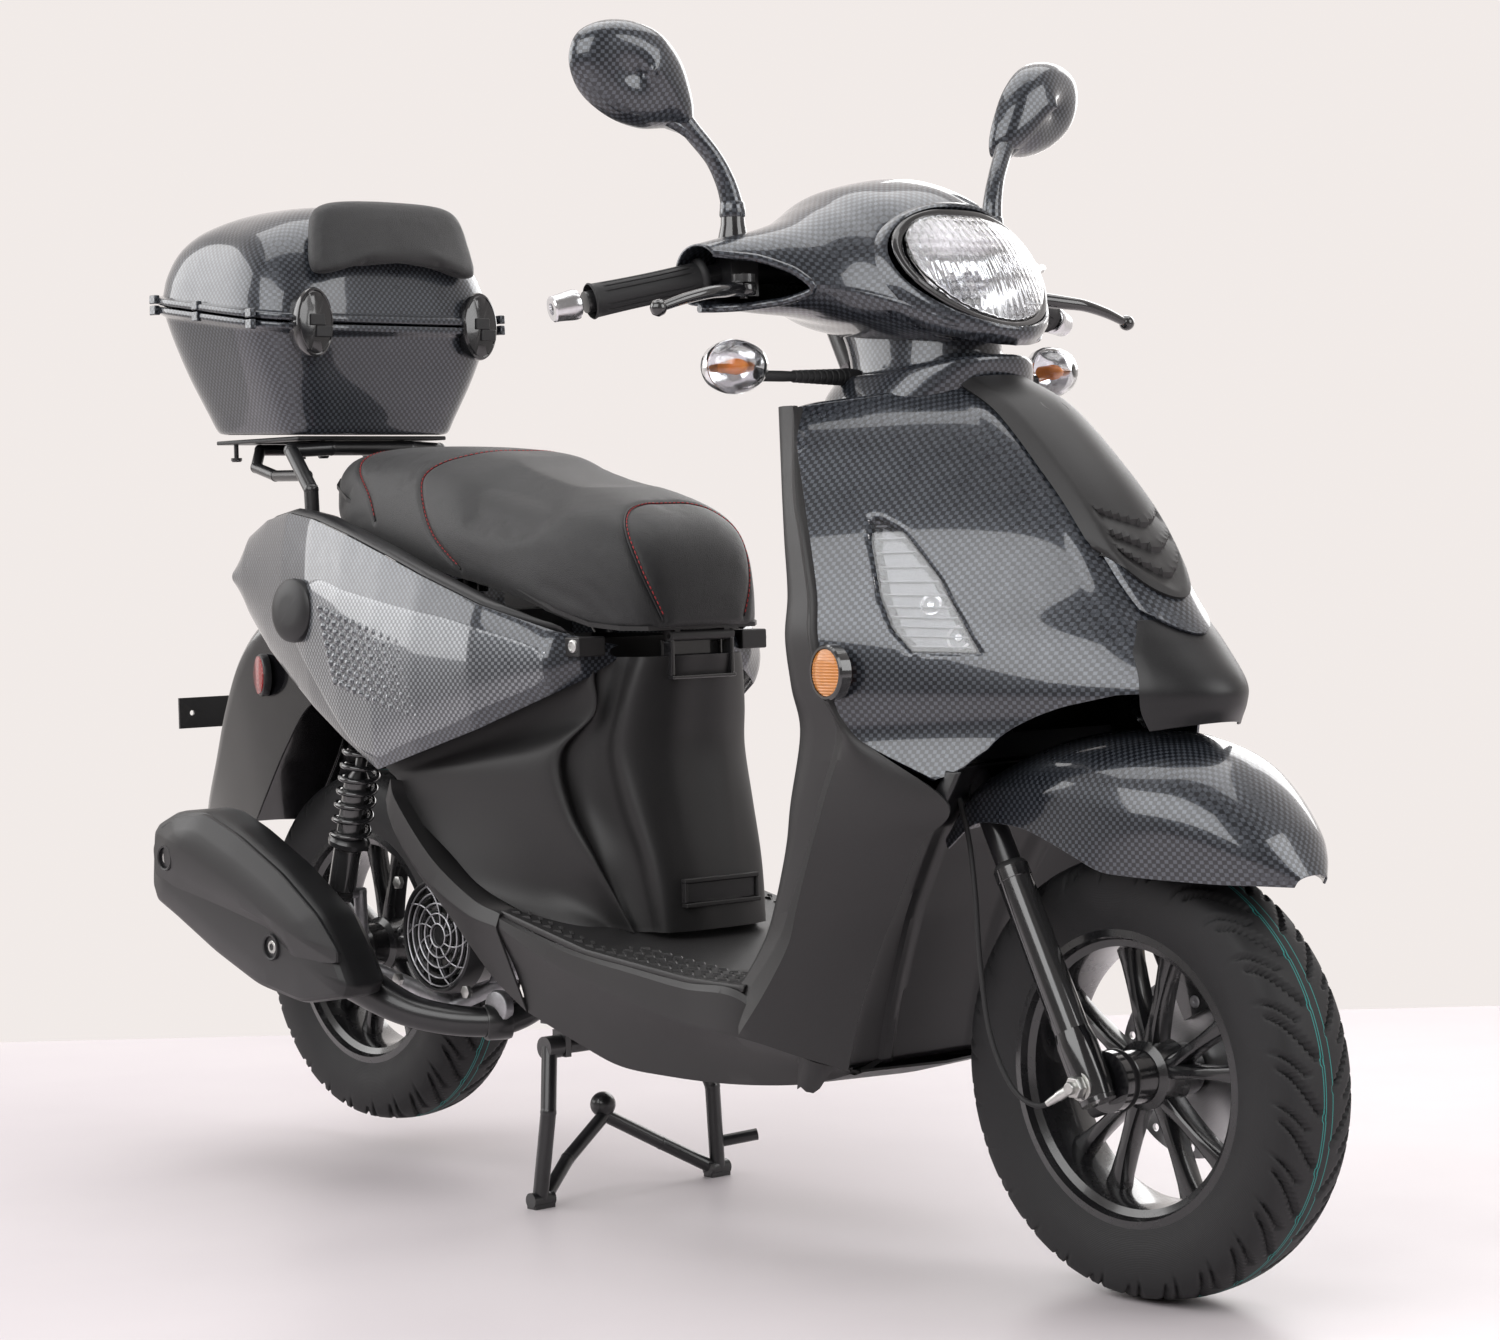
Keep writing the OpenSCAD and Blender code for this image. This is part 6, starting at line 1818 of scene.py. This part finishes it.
SLOT_FINISH = {
    "carbon_gloss": CARBON, "matte_black": MATTE, "black_steel": STEEL, "gloss_metal": GLOSS,
    "gloss_black": GLOSS, "cast_alloy": ALLOY, "bright_steel": ZINC, "tyre_rubber": RUBBER,
    "rubber_black": GRIP, "pad_rubber": RUBBER, "seat_vinyl": VINYL, "clear_lens": CLEAR, "red_lens": RED,
    "amber_lens": AMBER,
}
NODE_FINISH = {"brake_disc": DISC}
for row in frame["record"]["subparts"]:
    node = frame["nodes"][row["node"]]
    if node.hide_render:
        continue
    finish = NODE_FINISH.get(row["node"]) or SLOT_FINISH.get(row["material_slot"], DEEP)
    node.data.materials.clear()
    node.data.materials.append(finish)
    node.data.polygons.foreach_set("material_index", [0] * len(node.data.polygons))


# ---------- floor, light and camera ----------


VIEW_YAW = math.radians(138.867)
FLOOR_BEHIND, FLOOR_FRONT, FLOOR_SIDE = 1.45, 7.0, 6.0


def studio():
    """Pale floor that ends behind the scooter, and a warm white surround that is dimmer in front."""
    ahead = Vector((math.cos(VIEW_YAW), math.sin(VIEW_YAW), 0))
    side = Vector((-ahead.y, ahead.x, 0))
    floor = bpy.data.meshes.new("floor")
    corners = [ahead * a + side * b for a, b in ((-FLOOR_FRONT, -FLOOR_SIDE), (-FLOOR_FRONT, FLOOR_SIDE),
                                                 (FLOOR_BEHIND, FLOOR_SIDE), (FLOOR_BEHIND, -FLOOR_SIDE))]
    floor.from_pydata([tuple(c) for c in corners], [], [(3, 2, 1, 0)])
    s = Shade("pale_floor")
    tone = s.range(s.noise(1.3, 4.0), 0.3, 0.7)
    s.set("Base Color", s.mix(tone, (0.62, 0.575, 0.60), (0.68, 0.635, 0.655)))
    s.set("Roughness", s.range(s.noise(3.0), 0.3, 0.7, 0.38, 0.5))
    floor.materials.append(s.mat)
    obj = bpy.data.objects.new("floor", floor)
    bpy.context.scene.collection.objects.link(obj)
    world = bpy.data.worlds.new("studio")
    bpy.context.scene.world = world
    world.use_nodes = True
    tree = world.node_tree
    where = tree.nodes.new("ShaderNodeTexCoord")
    along = tree.nodes.new("ShaderNodeVectorMath")
    along.operation = "DOT_PRODUCT"
    along.inputs[1].default_value = ahead
    tree.links.new(where.outputs["Generated"], along.inputs[0])
    share = tree.nodes.new("ShaderNodeMapRange")
    share.inputs["From Min"].default_value = -0.5
    share.inputs["From Max"].default_value = 0.85
    share.inputs["To Min"].default_value = 0.26
    share.inputs["To Max"].default_value = 0.95
    tree.links.new(along.outputs["Value"], share.inputs["Value"])
    background = tree.nodes["Background"]
    background.inputs[0].default_value = (0.93, 0.875, 0.85, 1)
    tree.links.new(share.outputs["Result"], background.inputs[1])
    bpy.context.scene.view_settings.view_transform = "Standard"


studio()


def area_light(name, at, target, size, power, tint=(1, 1, 1)):
    data = bpy.data.lights.new(name, "AREA")
    data.shape = "RECTANGLE"
    data.size, data.size_y = size
    data.energy = power
    data.color = tint
    lamp = bpy.data.objects.new(name, data)
    lamp.location = at
    lamp.rotation_euler = (Vector(target) - Vector(at)).to_track_quat("-Z", "Y").to_euler()
    bpy.context.scene.collection.objects.link(lamp)


area_light("key_softbox", (1.2, -3.6, 2.9), (0, 0, 0.5), (4.2, 2.6), 110)
area_light("front_softbox", (4.2, 1.4, 2.4), (0.3, 0, 0.6), (2.6, 2.8), 75)
area_light("top_softbox", (-0.3, 0.3, 4.0), (0, 0, 0.5), (4.5, 3.0), 85)
area_light("rear_softbox", (-3.2, -2.2, 2.2), (-0.3, 0, 0.6), (2.8, 2.6), 65)
area_light("far_softbox", (-1.5, 3.8, 2.4), (0, 0, 0.6), (3.0, 2.4), 60)

CAMERA_AT = (2.9949, -2.5170, 0.7512)
CAMERA_YAW, CAMERA_PITCH, CAMERA_ROLL = 138.867, -2.178, -1.399
LENS_MM = 83.65


def make_camera():
    yaw, pitch, roll = (math.radians(a) for a in (CAMERA_YAW, CAMERA_PITCH, CAMERA_ROLL))
    ahead = Vector((math.cos(pitch) * math.cos(yaw), math.cos(pitch) * math.sin(yaw), math.sin(pitch)))
    level = ahead.cross(Vector((0, 0, 1))).normalized()
    above = level.cross(ahead)
    right = math.cos(roll) * level + math.sin(roll) * above
    up = -math.sin(roll) * level + math.cos(roll) * above
    data = bpy.data.cameras.new("camera")
    data.lens = LENS_MM
    data.sensor_width = 36
    data.clip_end = 200
    cam = bpy.data.objects.new("camera", data)
    turn = Matrix((right, up, -ahead)).transposed().to_4x4()
    cam.matrix_world = Matrix.Translation(CAMERA_AT) @ turn
    bpy.context.scene.collection.objects.link(cam)
    bpy.context.scene.camera = cam


make_camera()
